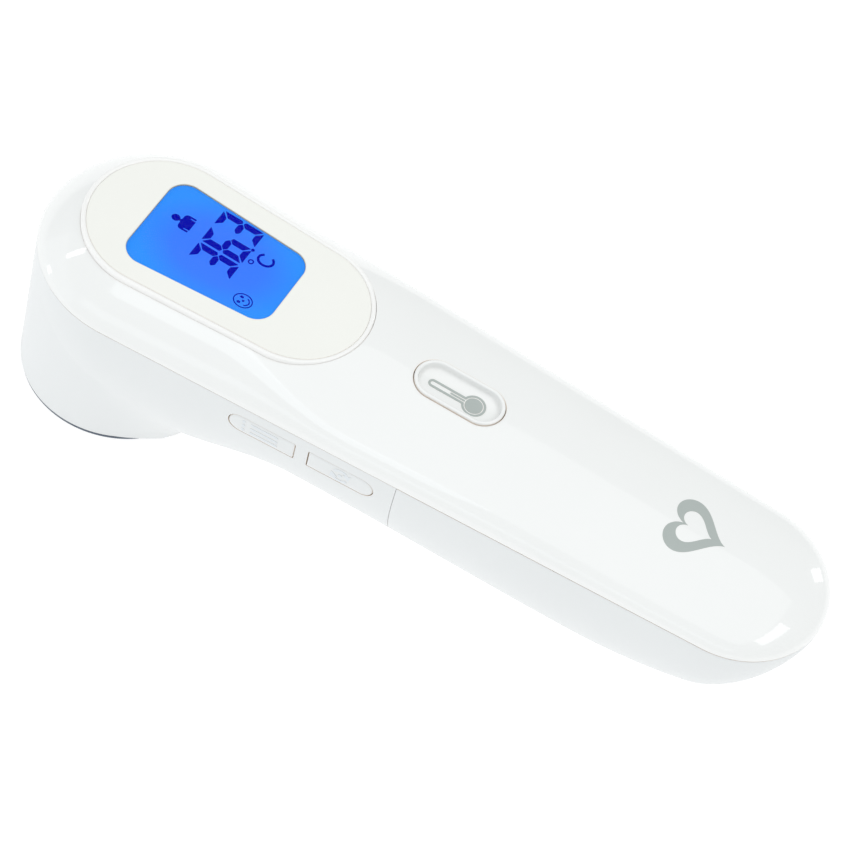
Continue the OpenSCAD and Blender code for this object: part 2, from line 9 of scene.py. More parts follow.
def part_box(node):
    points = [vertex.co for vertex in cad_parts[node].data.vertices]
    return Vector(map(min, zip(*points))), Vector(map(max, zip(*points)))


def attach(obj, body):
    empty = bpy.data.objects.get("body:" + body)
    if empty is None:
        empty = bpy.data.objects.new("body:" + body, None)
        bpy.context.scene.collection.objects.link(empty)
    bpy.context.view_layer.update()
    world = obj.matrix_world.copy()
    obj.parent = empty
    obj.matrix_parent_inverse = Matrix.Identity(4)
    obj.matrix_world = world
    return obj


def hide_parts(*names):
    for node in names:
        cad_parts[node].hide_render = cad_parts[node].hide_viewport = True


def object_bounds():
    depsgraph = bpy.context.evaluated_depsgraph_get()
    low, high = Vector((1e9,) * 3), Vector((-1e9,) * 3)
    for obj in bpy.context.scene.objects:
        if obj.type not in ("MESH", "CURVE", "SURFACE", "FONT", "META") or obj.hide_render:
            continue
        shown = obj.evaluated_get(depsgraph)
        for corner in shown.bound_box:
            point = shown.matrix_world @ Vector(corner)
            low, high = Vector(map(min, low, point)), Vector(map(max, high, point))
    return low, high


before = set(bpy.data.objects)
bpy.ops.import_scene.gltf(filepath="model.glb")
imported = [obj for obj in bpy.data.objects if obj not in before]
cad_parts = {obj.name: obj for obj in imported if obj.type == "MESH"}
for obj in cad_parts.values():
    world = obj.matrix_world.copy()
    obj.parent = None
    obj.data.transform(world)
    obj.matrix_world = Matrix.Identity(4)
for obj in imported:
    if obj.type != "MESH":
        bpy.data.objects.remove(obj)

cad_box = [list(corner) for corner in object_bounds()]
MM = 0.001
CASE = "case"

# ---------------- body frame
# Shapes are worked out in millimetres in the body's own frame: the nose is at x = 0, the
# joint line between the two halves at z = 0, and the side buttons are on -y.
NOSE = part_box("top_cover")[0].x / MM
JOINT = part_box("lower_shell")[1].z / MM
BODY_LEN = (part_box("top_cover")[1].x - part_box("top_cover")[0].x) / MM
HEAD_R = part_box("top_cover")[1].y / MM
TAIL_R = 16.5
PLATE_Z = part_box("display_bezel")[1].z / MM - JOINT
PLATE_T = 1.0
PLATE_ROUND = 0.6
WALL = 1.8
SEAM_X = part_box("lower_shell")[1].x / MM - NOSE
MOUTH_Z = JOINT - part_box("lower_shell")[0].z / MM
MOUTH_R = 18.6
MOUTH_X = 17.75

HEAD_CX = HEAD_R
TAIL_CX = BODY_LEN - TAIL_R
SPAN = TAIL_CX - HEAD_CX
SLOPE = (HEAD_R - TAIL_R) / SPAN

# heights and section powers of the upper skin, from the head to the handle to the tail
HEAD_CREST, HEAD_POWER = 13.0, 1.38
CREST, CREST_POWER = 7.2, 1.9
TAIL_CREST = 5.85
# depths of the lower body
GRIP_DEPTH, BAY_DEPTH, GRIP_POWER = 23.4, 26.0, 2.6
NECK_DEPTH = 8.0
TAIL_START, TAIL_POWER = 116.0, 2.1
# stretches of x over which one shape turns into the next
HEAD_FADE, TAIL_FADE, NECK_FADE, BAY_FADE = (40, 70), (90, 148), (34, 61), (60, 120)
# the soft blend of the barrel into the grip: its radius, the stretch below the joint line
# where it grows, how near the skin it works and where it ends
NECK_BLEND, BLEND_FADE, BLEND_NEAR, NECK_END = 16.0, (0, 14), 5, 75
HALF_WIDTH = 19


def to_row(points):
    """Body-frame millimetres to row-frame metres."""
    return (np.asarray(points, float) + (NOSE, 0.0, JOINT)) * MM


def smooth(a, b, x):
    """0 before a, 1 after b, with a soft step between them."""
    t = np.clip((x - a) / (b - a), 0, 1)
    return t * t * (3 - 2 * t)


def mix(a, b, t):
    return a + (b - a) * t


def crest(x):
    """Height of the upper skin along the spine, before the plate levels it."""
    high = mix(HEAD_CREST, CREST, smooth(*HEAD_FADE, x))
    return mix(high, TAIL_CREST, smooth(*TAIL_FADE, x))


def top_power(x):
    """How square the upper skin's section is."""
    return mix(HEAD_POWER, CREST_POWER, smooth(*HEAD_FADE, x))


def depth(x):
    """Depth of the lower body under the spine."""
    neck = NECK_DEPTH * (1 - smooth(*NECK_FADE, x))
    grip = mix(GRIP_DEPTH, BAY_DEPTH, smooth(*BAY_FADE, x)) + neck
    q = np.clip((x - TAIL_START) / (BODY_LEN + 1 - TAIL_START), 0, 1)
    return grip * (1 - q**TAIL_POWER) ** (1 / TAIL_POWER)


def plan_radius(x, y):
    """How far out a point is in the plan outline: 0 on the spine, 1 on the edge."""
    y = np.abs(y)
    r = y / (HEAD_R - SLOPE * (x - HEAD_CX))
    for _ in range(3):
        s = np.clip(r, 0, 3) * SLOPE
        r = (y * np.sqrt(1 - s * s) + (x - HEAD_CX) * s) / HEAD_R
    head = np.hypot(x - HEAD_CX, y) / HEAD_R
    tail = np.hypot(x - TAIL_CX, y) / TAIL_R
    r = np.where(x < HEAD_CX + r * r * HEAD_R * SLOPE, head, r)
    return np.where(x > TAIL_CX + r * r * TAIL_R * SLOPE, tail, r)


def soft_min(a, b, k):
    """The smaller of two values, rounded over where they are within k of each other."""
    h = np.clip(k - np.abs(a - b), 0, None) / k
    return np.minimum(a, b) - h * h * k / 4


def top_height(x, y):
    """Height of the upper skin over a plan point."""
    n = top_power(x)
    rise = crest(x) * np.clip(1 - plan_radius(x, y) ** n, 0, None) ** (1 / n)
    return soft_min(rise, PLATE_Z, PLATE_ROUND)


def grip_field(x, y, z):
    """Negative inside the handle's lower body, about a distance near its skin."""
    n = GRIP_POWER
    return ((plan_radius(x, y) ** n + (np.abs(z) / depth(x)) ** n) ** (1 / n) - 1) * HALF_WIDTH


def barrel_field(x, y, z):
    """Distance to the round barrel between the head and the mouth."""
    t = np.clip(-z / MOUTH_Z, -0.2, 1.2)
    return np.hypot(x - mix(HEAD_CX, MOUTH_X, t), y) - mix(HEAD_R, MOUTH_R, t)


def gradient(field, x, y, z, h=0.05):
    return np.stack([
        field(x + h, y, z) - field(x - h, y, z),
        field(x, y + h, z) - field(x, y - h, z),
        field(x, y, z + h) - field(x, y, z - h),
    ]) / (2 * h)


def unit_gradient(field, x, y, z):
    g = gradient(field, x, y, z)
    return g / (np.sqrt((g * g).sum(0)) + 1e-9)


def lower_field(x, y, z):
    """Negative inside the lower body. The barrel blends into the grip at the neck."""
    a, b = grip_field(x, y, z), barrel_field(x, y, z)
    out = np.minimum(a, b)
    near = (np.abs(out) < BLEND_NEAR) & (x < NECK_END)
    p = [v[near] for v in (x, y, z)]
    dot = (unit_gradient(grip_field, *p) * unit_gradient(barrel_field, *p)).sum(0)
    k = NECK_BLEND * np.clip(1 - dot, 0, 1) * smooth(*BLEND_FADE, -p[2]) + 1e-6
    out[near] = soft_min(a[near], b[near], k)
    return out


# ---------------- mesh tools
def link(name, data):
    """A new object in the scene."""
    obj = bpy.data.objects.new(name, data)
    bpy.context.scene.collection.objects.link(obj)
    return obj


def loose(name, verts, faces):
    """A mesh object in the row frame, from body-frame vertices, that isn't a piece yet."""
    mesh = bpy.data.meshes.new(name)
    mesh.from_pydata(to_row(verts).tolist(), [], faces)
    bm = bmesh.new()
    bm.from_mesh(mesh)
    bmesh.ops.recalc_face_normals(bm, faces=bm.faces)
    bm.to_mesh(mesh)
    bm.free()
    return link(name, mesh)


def new_piece(name, verts, faces, material, body, slot, replaces=(), sharp=35):
    """A mesh object from body-frame vertices that rides on its body."""
    return dress(loose(name, verts, faces), material, body, replaces, sharp)


def dress(obj, material, body, replaces=(), sharp=35):
    """Makes a mesh object a piece: shading, material, body and the CAD nodes it replaces."""
    mesh = obj.data
    mesh.polygons.foreach_set("use_smooth", [True] * len(mesh.polygons))
    mesh.set_sharp_from_angle(angle=math.radians(sharp))
    mesh.materials.clear()
    mesh.materials.append(material)
    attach(obj, body)
    if replaces:
        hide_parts(*replaces)
    return obj


def ring_faces(rings, count, closed=False):
    """Quads between consecutive rings of count points each."""
    faces = []
    last = rings if closed else rings - 1
    for j in range(last):
        a, b = j * count, ((j + 1) % rings) * count
        for i in range(count):
            k = (i + 1) % count
            faces.append((a + i, a + k, b + k, b + i))
    return faces


def stack_piece(name, rings, *args, closed=False, **kwargs):
    """A solid through a row of rings. The ends are capped unless the row closes on itself."""
    count = len(rings[0])
    verts = np.concatenate(rings)
    faces = ring_faces(len(rings), count, closed)
    if not closed:
        faces.append(tuple(range(count)))
        faces.append(tuple(range(len(verts) - count, len(verts)))[::-1])
    return new_piece(name, verts, faces, *args, **kwargs)


def joined(parts):
    """Several (vertices, faces) as one."""
    verts, faces, base = [], [], 0
    for v, f in parts:
        verts.append(np.asarray(v, float))
        faces += [tuple(i + base for i in face) for face in f]
        base += len(v)
    return np.concatenate(verts), faces


def slab_part(outline, low, high):
    """A thin solid: one outline placed at two heights by two functions of (x, y)."""
    n = len(outline)
    verts = np.concatenate([low(outline), high(outline)])
    faces = [(i, (i + 1) % n, n + (i + 1) % n, n + i) for i in range(n)]
    return verts, faces + [tuple(range(n))[::-1], tuple(range(n, 2 * n))]


def band_part(outer, inner, low, high):
    """A thin solid between two outlines with the same number of points."""
    rings = [low(outer), high(outer), high(inner), low(inner)]
    return np.concatenate(rings), ring_faces(4, len(outer), closed=True)


def at(z):
    """A function that places an outline's points at one height."""
    return lambda p: np.column_stack([p, np.full(len(p), z)])


def on_skin(line, lift):
    """An outline's points at a height above the upper skin."""
    return np.column_stack([line, top_height(*line.T) + lift])


def upright(line, y):
    """Points of an (x, z) outline at one y, or at a y for each."""
    return np.column_stack([line[:, 0], np.zeros(len(line)) + y, line[:, 1]])


def mirrored(points, side):
    """Points (x, y) as they are, or on the other side of the spine."""
    return np.array([(x, side * y) for x, y in points])


def arc(cx, cy, r, a0, a1, n, ry=None):
    """n points of a circle or an ellipse, from angle a0 to a1 in degrees."""
    t = np.radians(np.linspace(a0, a1, n))
    return np.column_stack([cx + r * np.cos(t), cy + (ry or r) * np.sin(t)])


def circle(cx, cy, r, n=48, ry=None):
    return arc(cx, cy, r, 0, 360, n + 1, ry)[:-1]


def egg(r1, x1, r2, x2, n=120):
    """Two round ends of different radius, joined by straight sides."""
    tilt = math.degrees(math.asin((r1 - r2) / (x2 - x1)))
    parts = [arc(x1, 0, r1, 90 - tilt, 270 + tilt, n), arc(x2, 0, r2, tilt - 90, 90 - tilt, n)]
    return filled(np.concatenate(parts), 0.4)


def stadium(cx, length, width, n=32):
    """Two half circles joined by straight sides, along x."""
    d = (length - width) / 2
    parts = [arc(cx - d, 0, width / 2, 90, 270, n), arc(cx + d, 0, width / 2, -90, 90, n)]
    return np.concatenate(parts)


def filled(outline, step):
    """The same closed outline with extra points on its long straight edges."""
    out = []
    for p, q in zip(outline, np.roll(outline, -1, axis=0)):
        n = max(1, int(np.linalg.norm(q - p) / step))
        out += [mix(p, q, i / n) for i in range(n)]
    return np.array(out)


def polar(outline, centre, angles):
    """The outline's points in the given directions from a centre."""
    dense = filled(outline, 0.02) - centre
    a = np.arctan2(dense[:, 1], dense[:, 0])
    order = np.argsort(a)
    r = np.interp(angles, a[order], np.hypot(*dense.T)[order], period=2 * np.pi)
    return np.column_stack([centre[0] + r * np.cos(angles), centre[1] + r * np.sin(angles)])


def surface_nets(field, low, high, step):
    """Quad mesh of the field's zero surface inside a box, moved on to the surface."""
    axes = [np.arange(a, b + step / 2, step) for a, b in zip(low, high)]
    grid = np.meshgrid(*axes, indexing="ij")
    v = field(*grid)
    inside = v < 0
    cells = tuple(n - 1 for n in v.shape)
    total = np.zeros(cells + (3,))
    count = np.zeros(cells)
    corners = [(i, j, k) for i in (0, 1) for j in (0, 1) for k in (0, 1)]

    def part(a, c):
        """The grid's values at one corner of every cell."""
        return a[tuple(slice(o, o + n) for o, n in zip(c, cells))]

    for c in corners:
        for axis in range(3):
            if c[axis]:
                continue
            d = tuple(o + (m == axis) for m, o in enumerate(c))
            va, vb = part(v, c), part(v, d)
            cross = part(inside, c) != part(inside, d)
            t = np.where(cross, va / np.where(cross, va - vb, 1), 0)
            for m in range(3):
                total[..., m] += np.where(cross, c[m] + (t if m == axis else 0), 0)
            count += cross
    active = count > 0
    number = np.full(cells, -1)
    number[active] = np.arange(active.sum())
    where = np.argwhere(active)
    verts = np.array(low) + step * (where + total[active] / count[active][:, None])
    faces = []
    for axis in range(3):
        u, w = (axis + 1) % 3, (axis + 2) % 3
        a = [slice(None)] * 3
        b = [slice(None)] * 3
        a[axis], b[axis] = slice(0, -1), slice(1, None)
        start, stop = inside[tuple(a)], inside[tuple(b)]
        edges = np.argwhere(start != stop)
        edges = edges[(edges[:, u] > 0) & (edges[:, w] > 0)]
        edges = edges[(edges[:, u] < cells[u]) & (edges[:, w] < cells[w])]
        flip = start[tuple(edges.T)]
        quad = []
        for du, dw in ((1, 1), (0, 1), (0, 0), (1, 0)):
            e = edges.copy()
            e[:, u] -= du
            e[:, w] -= dw
            quad.append(number[tuple(e.T)])
        quad = np.stack(quad, 1)
        quad[~flip] = quad[~flip][:, ::-1]
        faces.append(quad)
    faces = np.concatenate(faces)
    for _ in range(3):
        x, y, z = verts.T
        g = gradient(field, x, y, z)
        move = field(x, y, z) / ((g * g).sum(0) + 1e-9) * g
        verts = verts - np.clip(move, -step, step).T
    return verts, faces


def cut(bm, point, normal, remove):
    """Splits the mesh by a plane. With remove, the side that the normal points to goes."""
    parts = bm.verts[:] + bm.edges[:] + bm.faces[:]
    return bmesh.ops.bisect_plane(
        bm, geom=parts, dist=1e-5, plane_co=point, plane_no=normal, clear_outer=remove
    )


def subtract(obj, cutter):
    """obj with the cutter's solid taken away."""
    mod = obj.modifiers.new("cut", "BOOLEAN")
    mod.operation, mod.object, mod.solver = "DIFFERENCE", cutter, "EXACT"
    graph = bpy.context.evaluated_depsgraph_get()
    mesh = bpy.data.meshes.new_from_object(obj.evaluated_get(graph))
    obj.modifiers.clear()
    old = obj.data
    obj.data = mesh
    bpy.data.meshes.remove(old)
    bpy.data.objects.remove(cutter)


# ---------------- materials
# how far the painted crevice shade reaches, and the occlusion range over which it fades in
CREVICE_SHADE_REACH, CREVICE_SHADE_LOW, CREVICE_SHADE_HIGH = 0.0007, 0.3, 0.85


def new_look(name):
    mat = bpy.data.materials.new(name)
    mat.use_nodes = True
    return mat, mat.node_tree, mat.node_tree.nodes["Principled BSDF"]


def feed(node, key, socket):
    """Joins a socket to one of a node's inputs."""
    node.id_data.links.new(socket, node.inputs[key])


def object_coords(tree):
    return tree.nodes.new("ShaderNodeTexCoord").outputs["Object"]


def mottle(tree, scale, detail=3.0):
    """Noise in object coordinates, as a socket."""
    noise = tree.nodes.new("ShaderNodeTexNoise")
    noise.inputs["Scale"].default_value = scale
    noise.inputs["Detail"].default_value = detail
    feed(noise, "Vector", object_coords(tree))
    return noise.outputs["Fac"]


def ramp(tree, fac, stops, interpolation="LINEAR"):
    """A socket that runs through colours, given as (place, colour)."""
    node = tree.nodes.new("ShaderNodeValToRGB")
    node.color_ramp.interpolation = interpolation
    first, *middle, last = stops
    for element, (place, color) in zip(node.color_ramp.elements, (first, last)):
        element.position = place
        element.color = (*color, 1)
    for place, color in middle:
        node.color_ramp.elements.new(place).color = (*color, 1)
    feed(node, "Fac", fac)
    return node.outputs["Color"]


def tinted(tree, fac, dark, light):
    """A socket that runs between two colours."""
    return ramp(tree, fac, [(0.3, dark), (0.7, light)])


def spread(tree, fac, low, high, start=0.0, stop=1.0):
    """A socket that runs from low to high as fac runs from start to stop."""
    node = tree.nodes.new("ShaderNodeMapRange")
    for key, value in zip(("From Min", "From Max", "To Min", "To Max"), (start, stop, low, high)):
        node.inputs[key].default_value = value
    feed(node, "Value", fac)
    return node.outputs["Result"]


def painted_crevice_shade(tree, color, tint):
    """The colour with painted shade: tinted towards a warm tan where the surface is shut in, as in the
    gaps between mouldings.
    """
    cover = tree.nodes.new("ShaderNodeAmbientOcclusion")
    cover.samples = 6
    cover.inputs["Distance"].default_value = CREVICE_SHADE_REACH
    blend = tree.nodes.new("ShaderNodeMix")
    blend.data_type = "RGBA"
    blend.inputs["A"].default_value = (*tint, 1)
    fac = spread(tree, cover.outputs["AO"], 0.0, 1.0, CREVICE_SHADE_LOW, CREVICE_SHADE_HIGH)
    feed(blend, "Factor", fac)
    feed(blend, "B", color)
    return blend.outputs["Result"]


def plastic(
    name, color, rough=0.4, coat=0.0, grain=900, bump=0.02, vary=0.012, metallic=0.0, glow=0.0,
    crevice_shade=None, specular=0.5,
):
    """Moulded or machined surface: faint colour drift, uneven gloss, a fine surface grain and, when a
    shade tint is given, painted shade in crevices.
    """
    mat, tree, shader = new_look(name)
    slow, fine = mottle(tree, 60), mottle(tree, grain, 2.0)
    dark = [max(0, c - vary) for c in color]
    light = [min(1, c + vary) for c in color]
    tone = tinted(tree, slow, dark, light)
    # painted shade: the tan tint is mixed into the colour where ambient occlusion finds a crevice
    skin = painted_crevice_shade(tree, tone, crevice_shade) if crevice_shade else tone
    feed(shader, "Base Color", skin)
    gloss = spread(tree, fine, rough * 0.85, min(1, rough * 1.15))
    feed(shader, "Roughness", gloss)
    if bump:
        node = tree.nodes.new("ShaderNodeBump")
        node.inputs["Strength"].default_value = bump
        node.inputs["Distance"].default_value = 0.0001
        feed(node, "Height", fine)
        feed(shader, "Normal", node.outputs["Normal"])
    shader.inputs["Metallic"].default_value = metallic
    shader.inputs["Coat Weight"].default_value = coat
    shader.inputs["Coat Roughness"].default_value = 0.02
    shader.inputs["Specular IOR Level"].default_value = specular
    if glow:
        feed(shader, "Emission Color", tone)
        shader.inputs["Emission Strength"].default_value = glow
    return mat


# warm tan painted into gaps and crevices as shade
CREVICE_SHADE_TAN = (0.86, 0.77, 0.68)
WHITE_GLOSS = plastic(
    "white_gloss", (0.885, 0.886, 0.872), 0.3, coat=1.0, grain=700, bump=0.006, vary=0.004,
    crevice_shade=CREVICE_SHADE_TAN, specular=0.2,
)
WHITE_SATIN = plastic(
    "white_satin", (0.76, 0.775, 0.775), 0.42, coat=0.12, grain=2600, bump=0.05, vary=0.004,
    crevice_shade=CREVICE_SHADE_TAN,
)
CREAM = plastic("cream_plate", (0.9, 0.895, 0.845), 0.5, grain=2600, bump=0.04, vary=0.006, crevice_shade=CREVICE_SHADE_TAN)
BEAD = plastic("bead", (0.93, 0.92, 0.9), 0.3, coat=0.5, grain=700, bump=0.01, vary=0.004)
PRINT_GREY = plastic("print_grey", (0.42, 0.46, 0.44), 0.45, grain=1500, vary=0.01)
LCD_INK = plastic(
    "display_ink", (0.0, 0.0, 0.36), 0.6, grain=1500, bump=0.0, vary=0.003, glow=0.5, specular=0.0
)
# tan for the display window's wall: painted shade, the dim warm tone of the recess wall
RECESS_WALL_SHADE = plastic("recess_wall_shade_tan", (0.74, 0.63, 0.42), 0.7, grain=1500, bump=0.03, vary=0.03, specular=0.1)
MARK_PALE = plastic("mark_pale", (0.73, 0.765, 0.79), 0.45, grain=1500, vary=0.006)
RIM = plastic("rim_slate", (0.035, 0.06, 0.1), 0.38, coat=0.2, grain=1500, bump=0.03, vary=0.008)


def lit_display():
    """Backlit panel: violet-blue in the middle, towards cyan at the edges."""
    mat, tree, shader = new_look("lit_display")
    low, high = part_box("lcd_glass")
    mid, half = (low + high) / 2, (high - low) / 2
    place = tree.nodes.new("ShaderNodeMapping")
    place.vector_type = "POINT"
    place.inputs["Location"].default_value = (-mid.x / half.x, -mid.y / half.y, 0)
    place.inputs["Scale"].default_value = (1 / half.x, 1 / half.y, 0)
    radius = tree.nodes.new("ShaderNodeVectorMath")
    radius.operation = "LENGTH"
    feed(place, "Vector", object_coords(tree))
    feed(radius, 0, place.outputs["Vector"])
    add = tree.nodes.new("ShaderNodeMath")
    feed(add, 0, radius.outputs["Value"])
    feed(add, 1, spread(tree, mottle(tree, 180), -0.06, 0.06))
    stops = [(0.0, (0.05, 0.195, 1.0)), (0.55, (0.045, 0.208, 1.0)), (1.0, (0.03, 0.29, 1.0))]
    color = ramp(tree, add.outputs["Value"], stops)
    feed(shader, "Base Color", color)
    feed(shader, "Emission Color", color)
    shader.inputs["Emission Strength"].default_value = 0.4
    shader.inputs["Roughness"].default_value = 0.5
    shader.inputs["Specular IOR Level"].default_value = 0.05
    return mat


def clear_pane():
    """Thin clear film over the display."""
    mat, tree, shader = new_look("clear_pane")
    gloss = spread(tree, mottle(tree, 300), 0.02, 0.05)
    feed(shader, "Roughness", gloss)
    tint = tinted(tree, mottle(tree, 80), (0.0, 0.01, 0.05), (0.0, 0.015, 0.06))
    feed(shader, "Base Color", tint)
    shader.inputs["Alpha"].default_value = 0.1
    shader.inputs["IOR"].default_value = 1.45
    return mat


def metal(name, color, rough, grain, bump=0.05):
    return plastic(name, color, rough, grain=grain, bump=bump, metallic=1.0)


LCD = lit_display()
PANE = clear_pane()

CAD_LOOKS = {
    "lcd_glass": LCD,
    "display_window": PANE,
    "lcd_backlight": plastic("light_guide", (0.72, 0.85, 1.0), 0.35, coat=0.3, glow=0.3),
    "lcd_frame": plastic("frame_white", (0.86, 0.86, 0.85), 0.5, bump=0.05),
    "contact_strips": plastic(
        "strip_rubber", (0.72, 0.36, 0.48), 0.7, grain=2200, bump=0.1, vary=0.06
    ),
    "main_board": plastic(
        "board_green", (0.02, 0.17, 0.07), 0.35, coat=0.3, grain=500, bump=0.06, vary=0.015
    ),
    "controller_chip": plastic(
        "chip_black", (0.02, 0.02, 0.022), 0.6, grain=2500, bump=0.12, vary=0.006
    ),
    "board_parts": plastic("parts_tan", (0.42, 0.3, 0.18), 0.5, grain=700, bump=0.05, vary=0.08),
    "buzzer": plastic("buzzer_black", (0.025, 0.025, 0.03), 0.45, grain=2200, bump=0.08, vary=0.008),
    "measure_switch": metal("switch_steel", (0.6, 0.61, 0.62), 0.32, 1400),
    "measure_plunger": plastic("plunger_grey", (0.1, 0.1, 0.11), 0.5, bump=0.05),
    "probe_plate": plastic(
        "plate_dark", (0.03, 0.036, 0.042), 0.45, coat=0.1, grain=2200, bump=0.07, vary=0.008
    ),
    "sensor_cone": metal("cone_chrome", (0.85, 0.86, 0.87), 0.09, 1200, bump=0.01),
    "thermopile_sensor": metal("can_metal", (0.7, 0.66, 0.58), 0.25, 1500, bump=0.04),
    "sensor_filter": plastic("filter_dark", (0.04, 0.025, 0.06), 0.12, coat=0.8, grain=600, bump=0.01),
    "sensor_ribbon": plastic(
        "ribbon_amber", (0.55, 0.23, 0.03), 0.35, coat=0.3, grain=500, bump=0.04, vary=0.04
    ),
    "battery_tray": plastic("tray_white", (0.8, 0.81, 0.8), 0.5, grain=2200, bump=0.08, vary=0.01),
    "front_contacts": metal("contact_plate", (0.7, 0.69, 0.64), 0.28, 1600),
    "battery_leads": plastic("lead_red", (0.45, 0.02, 0.015), 0.45, bump=0.05, vary=0.02),
    "case_screws": metal("screw_steel", (0.6, 0.61, 0.63), 0.3, 1800, bump=0.06),
}
# nodes that share a look with another one
SAME_LOOK = {
    "sensor_holder": "lcd_frame", "sensor_board": "main_board", "side_switches": "measure_switch",
    "mode_plunger": "measure_plunger", "memory_plunger": "measure_plunger",
    "sensor_screws": "case_screws", "board_screws": "case_screws", "tray_screws": "case_screws",
    "battery_springs": "front_contacts", "link_contact": "front_contacts",
}


def cell_jacket(name, ends):
    """Printed sleeve with bare metal ends. ends is the sleeve's two limits along x, in metres."""
    mat, tree, shader = new_look(name)
    split = tree.nodes.new("ShaderNodeSeparateXYZ")
    feed(split, "Vector", object_coords(tree))
    metal, green, band = (0.75, 0.74, 0.7), (0.03, 0.2, 0.09), (0.62, 0.66, 0.6)
    stops = [(0.0, metal), (0.03, green), (0.72, band), (0.76, green), (0.965, metal)]
    along = spread(tree, split.outputs["X"], 0.0, 1.0, *ends)
    feed(shader, "Base Color", ramp(tree, along, stops, "CONSTANT"))
    gloss = spread(tree, mottle(tree, 900), 0.28, 0.4)
    feed(shader, "Roughness", gloss)
    shader.inputs["Metallic"].default_value = 0.6
    return mat


# ---------------- upper cover
# screws, as (x, y), and the heights that their bosses reach down to
CASE_SPOTS = ((6, 6), (6, -6), (78, 13.6), (78, -13.6))
BOARD_SPOTS = ((12, 0), (57.5, 8.6), (57.5, -8.6))
TRAY_SPOTS = ((84.2, 13.5), (84.2, -13.5), (142.2, 0))
CASE_SEAT, BOARD_TOP, TRAY_SEAT = -1.5, 1.6, -1.2
BOSS_R, PILOT_R, BOSS_POINTS = 2.25, 0.8, 40
# the groove between the two halves
GROOVE, GROOVE_DEEP, LIP = 0.1, 0.3, 0.05
# the cream plate's outline, the pocket that it lies in, and the skin's inside under it
EGG_R1, EGG_X1, EGG_R2, EGG_X2 = 14.9, 21.9, 13.65, 49.1
PLATE_GAP, UNDER_PLATE = 0.04, 1.4
# the display's opening, and how much wider the hole behind it is
WINDOW_X, WINDOW_LEN, WINDOW_FRONT, WINDOW_REAR, WINDOW_CORNER = 18.3, 28.7, 10.2, 8.75, 3.7
WINDOW_EDGE = 1.45
MEASURE_X, MEASURE_LEN, MEASURE_W, MEASURE_GAP = 81.6, 17.2, 8.2, 0.12
# after the cuts, vertices nearer than this become one
WELD = 0.02


def plate_line(grow=0.0):
    return egg(EGG_R1 + grow, EGG_X1, EGG_R2 + grow, EGG_X2)


def window_line(grow=0.0, n=24):
    """The display's opening: a trapezium with round corners, wider at the nose."""
    c = WINDOW_CORNER
    x1, x2 = WINDOW_X + c, WINDOW_X + WINDOW_LEN - c
    lean = math.degrees(math.atan((WINDOW_FRONT - WINDOW_REAR) / WINDOW_LEN))
    r = c + grow
    return np.concatenate([
        arc(x2, WINDOW_REAR - c, r, 0, 90 - lean, n),
        arc(x1, WINDOW_FRONT - c, r, 90 - lean, 180, n),
        arc(x1, c - WINDOW_FRONT, r, 180, 270 + lean, n),
        arc(x2, c - WINDOW_REAR, r, 270 + lean, 360, n),
    ])


def body_outline():
    """The plan outline, from the nose all the way round: place along the spine, direction."""
    flank = 1.5 * math.pi + math.asin(SLOPE)
    head = [(0.0, a) for a in np.linspace(math.pi, flank, 49)]
    side = [(s, flank) for s in np.linspace(0, 1, 131)[1:]]
    tail = [(1.0, a) for a in np.linspace(flank, 2 * math.pi, 41)[1:]]
    half = head + side + tail
    return np.array(half + [(s, -a) for s, a in half[-2:0:-1]])


OUTLINE = body_outline()


def skin_ring(angle, inset, drop=0.0, extra=0.0):
    """One ring of the upper skin at an angle up its section, moved in by inset and extra."""
    s, a = OUTLINE.T
    spine = HEAD_CX + s * SPAN
    n = top_power(spine)
    r = (mix(HEAD_R, TAIL_R, s) - inset - extra) * np.cos(angle) ** (2 / n)
    rise = (crest(spine) - inset) * np.sin(angle) ** (2 / n)
    level = PLATE_Z - (PLATE_T + UNDER_PLATE if inset else 0)
    z = soft_min(rise, level, PLATE_ROUND)
    return np.column_stack([spine + r * np.cos(a), r * np.sin(a), z + drop])


def cover_skin():
    """The upper shell as one closed skin: outside, inside and the foot at the joint line."""
    up = np.radians(np.r_[np.linspace(0.8, 20, 14), np.linspace(22, 88.5, 44)])
    down = np.radians(np.linspace(87, 0, 24))
    rings = [
        skin_ring(0, 0, GROOVE, GROOVE_DEEP),
        skin_ring(0, 0, GROOVE, LIP),
        skin_ring(0, 0, GROOVE + LIP, 0.0),
    ]
    lip_top = rings[-1][:, 2].copy()
    for a in up:
        ring = skin_ring(a, 0)
        ring[:, 2] = np.maximum(ring[:, 2], lip_top + 0.01)
        rings.append(ring)
    outside = len(rings)
    rings += [skin_ring(a, WALL) for a in down[:-1]]
    rings.append(skin_ring(0, WALL))
    rings.append(skin_ring(0, 0, 0.0, GROOVE_DEEP))
    count = len(OUTLINE)
    base = outside * count
    faces = ring_faces(outside, count)
    faces += [tuple(i + base for i in f) for f in ring_faces(len(rings) - outside, count)]
    # both skins close along the spine, from one side of their last ring to the other
    for start in (base - count, base):
        for i in range(count // 2):
            far = [start + (count - i - k) % count for k in (0, 1)]
            quad = dict.fromkeys((start + i, start + i + 1, far[1], far[0]))
            faces.append(tuple(quad))
    end = (len(rings) - 1) * count
    faces += [(end + i, end + (i + 1) % count, (i + 1) % count, i) for i in range(count)]
    return loose("top_cover_skin", np.concatenate(rings), faces)


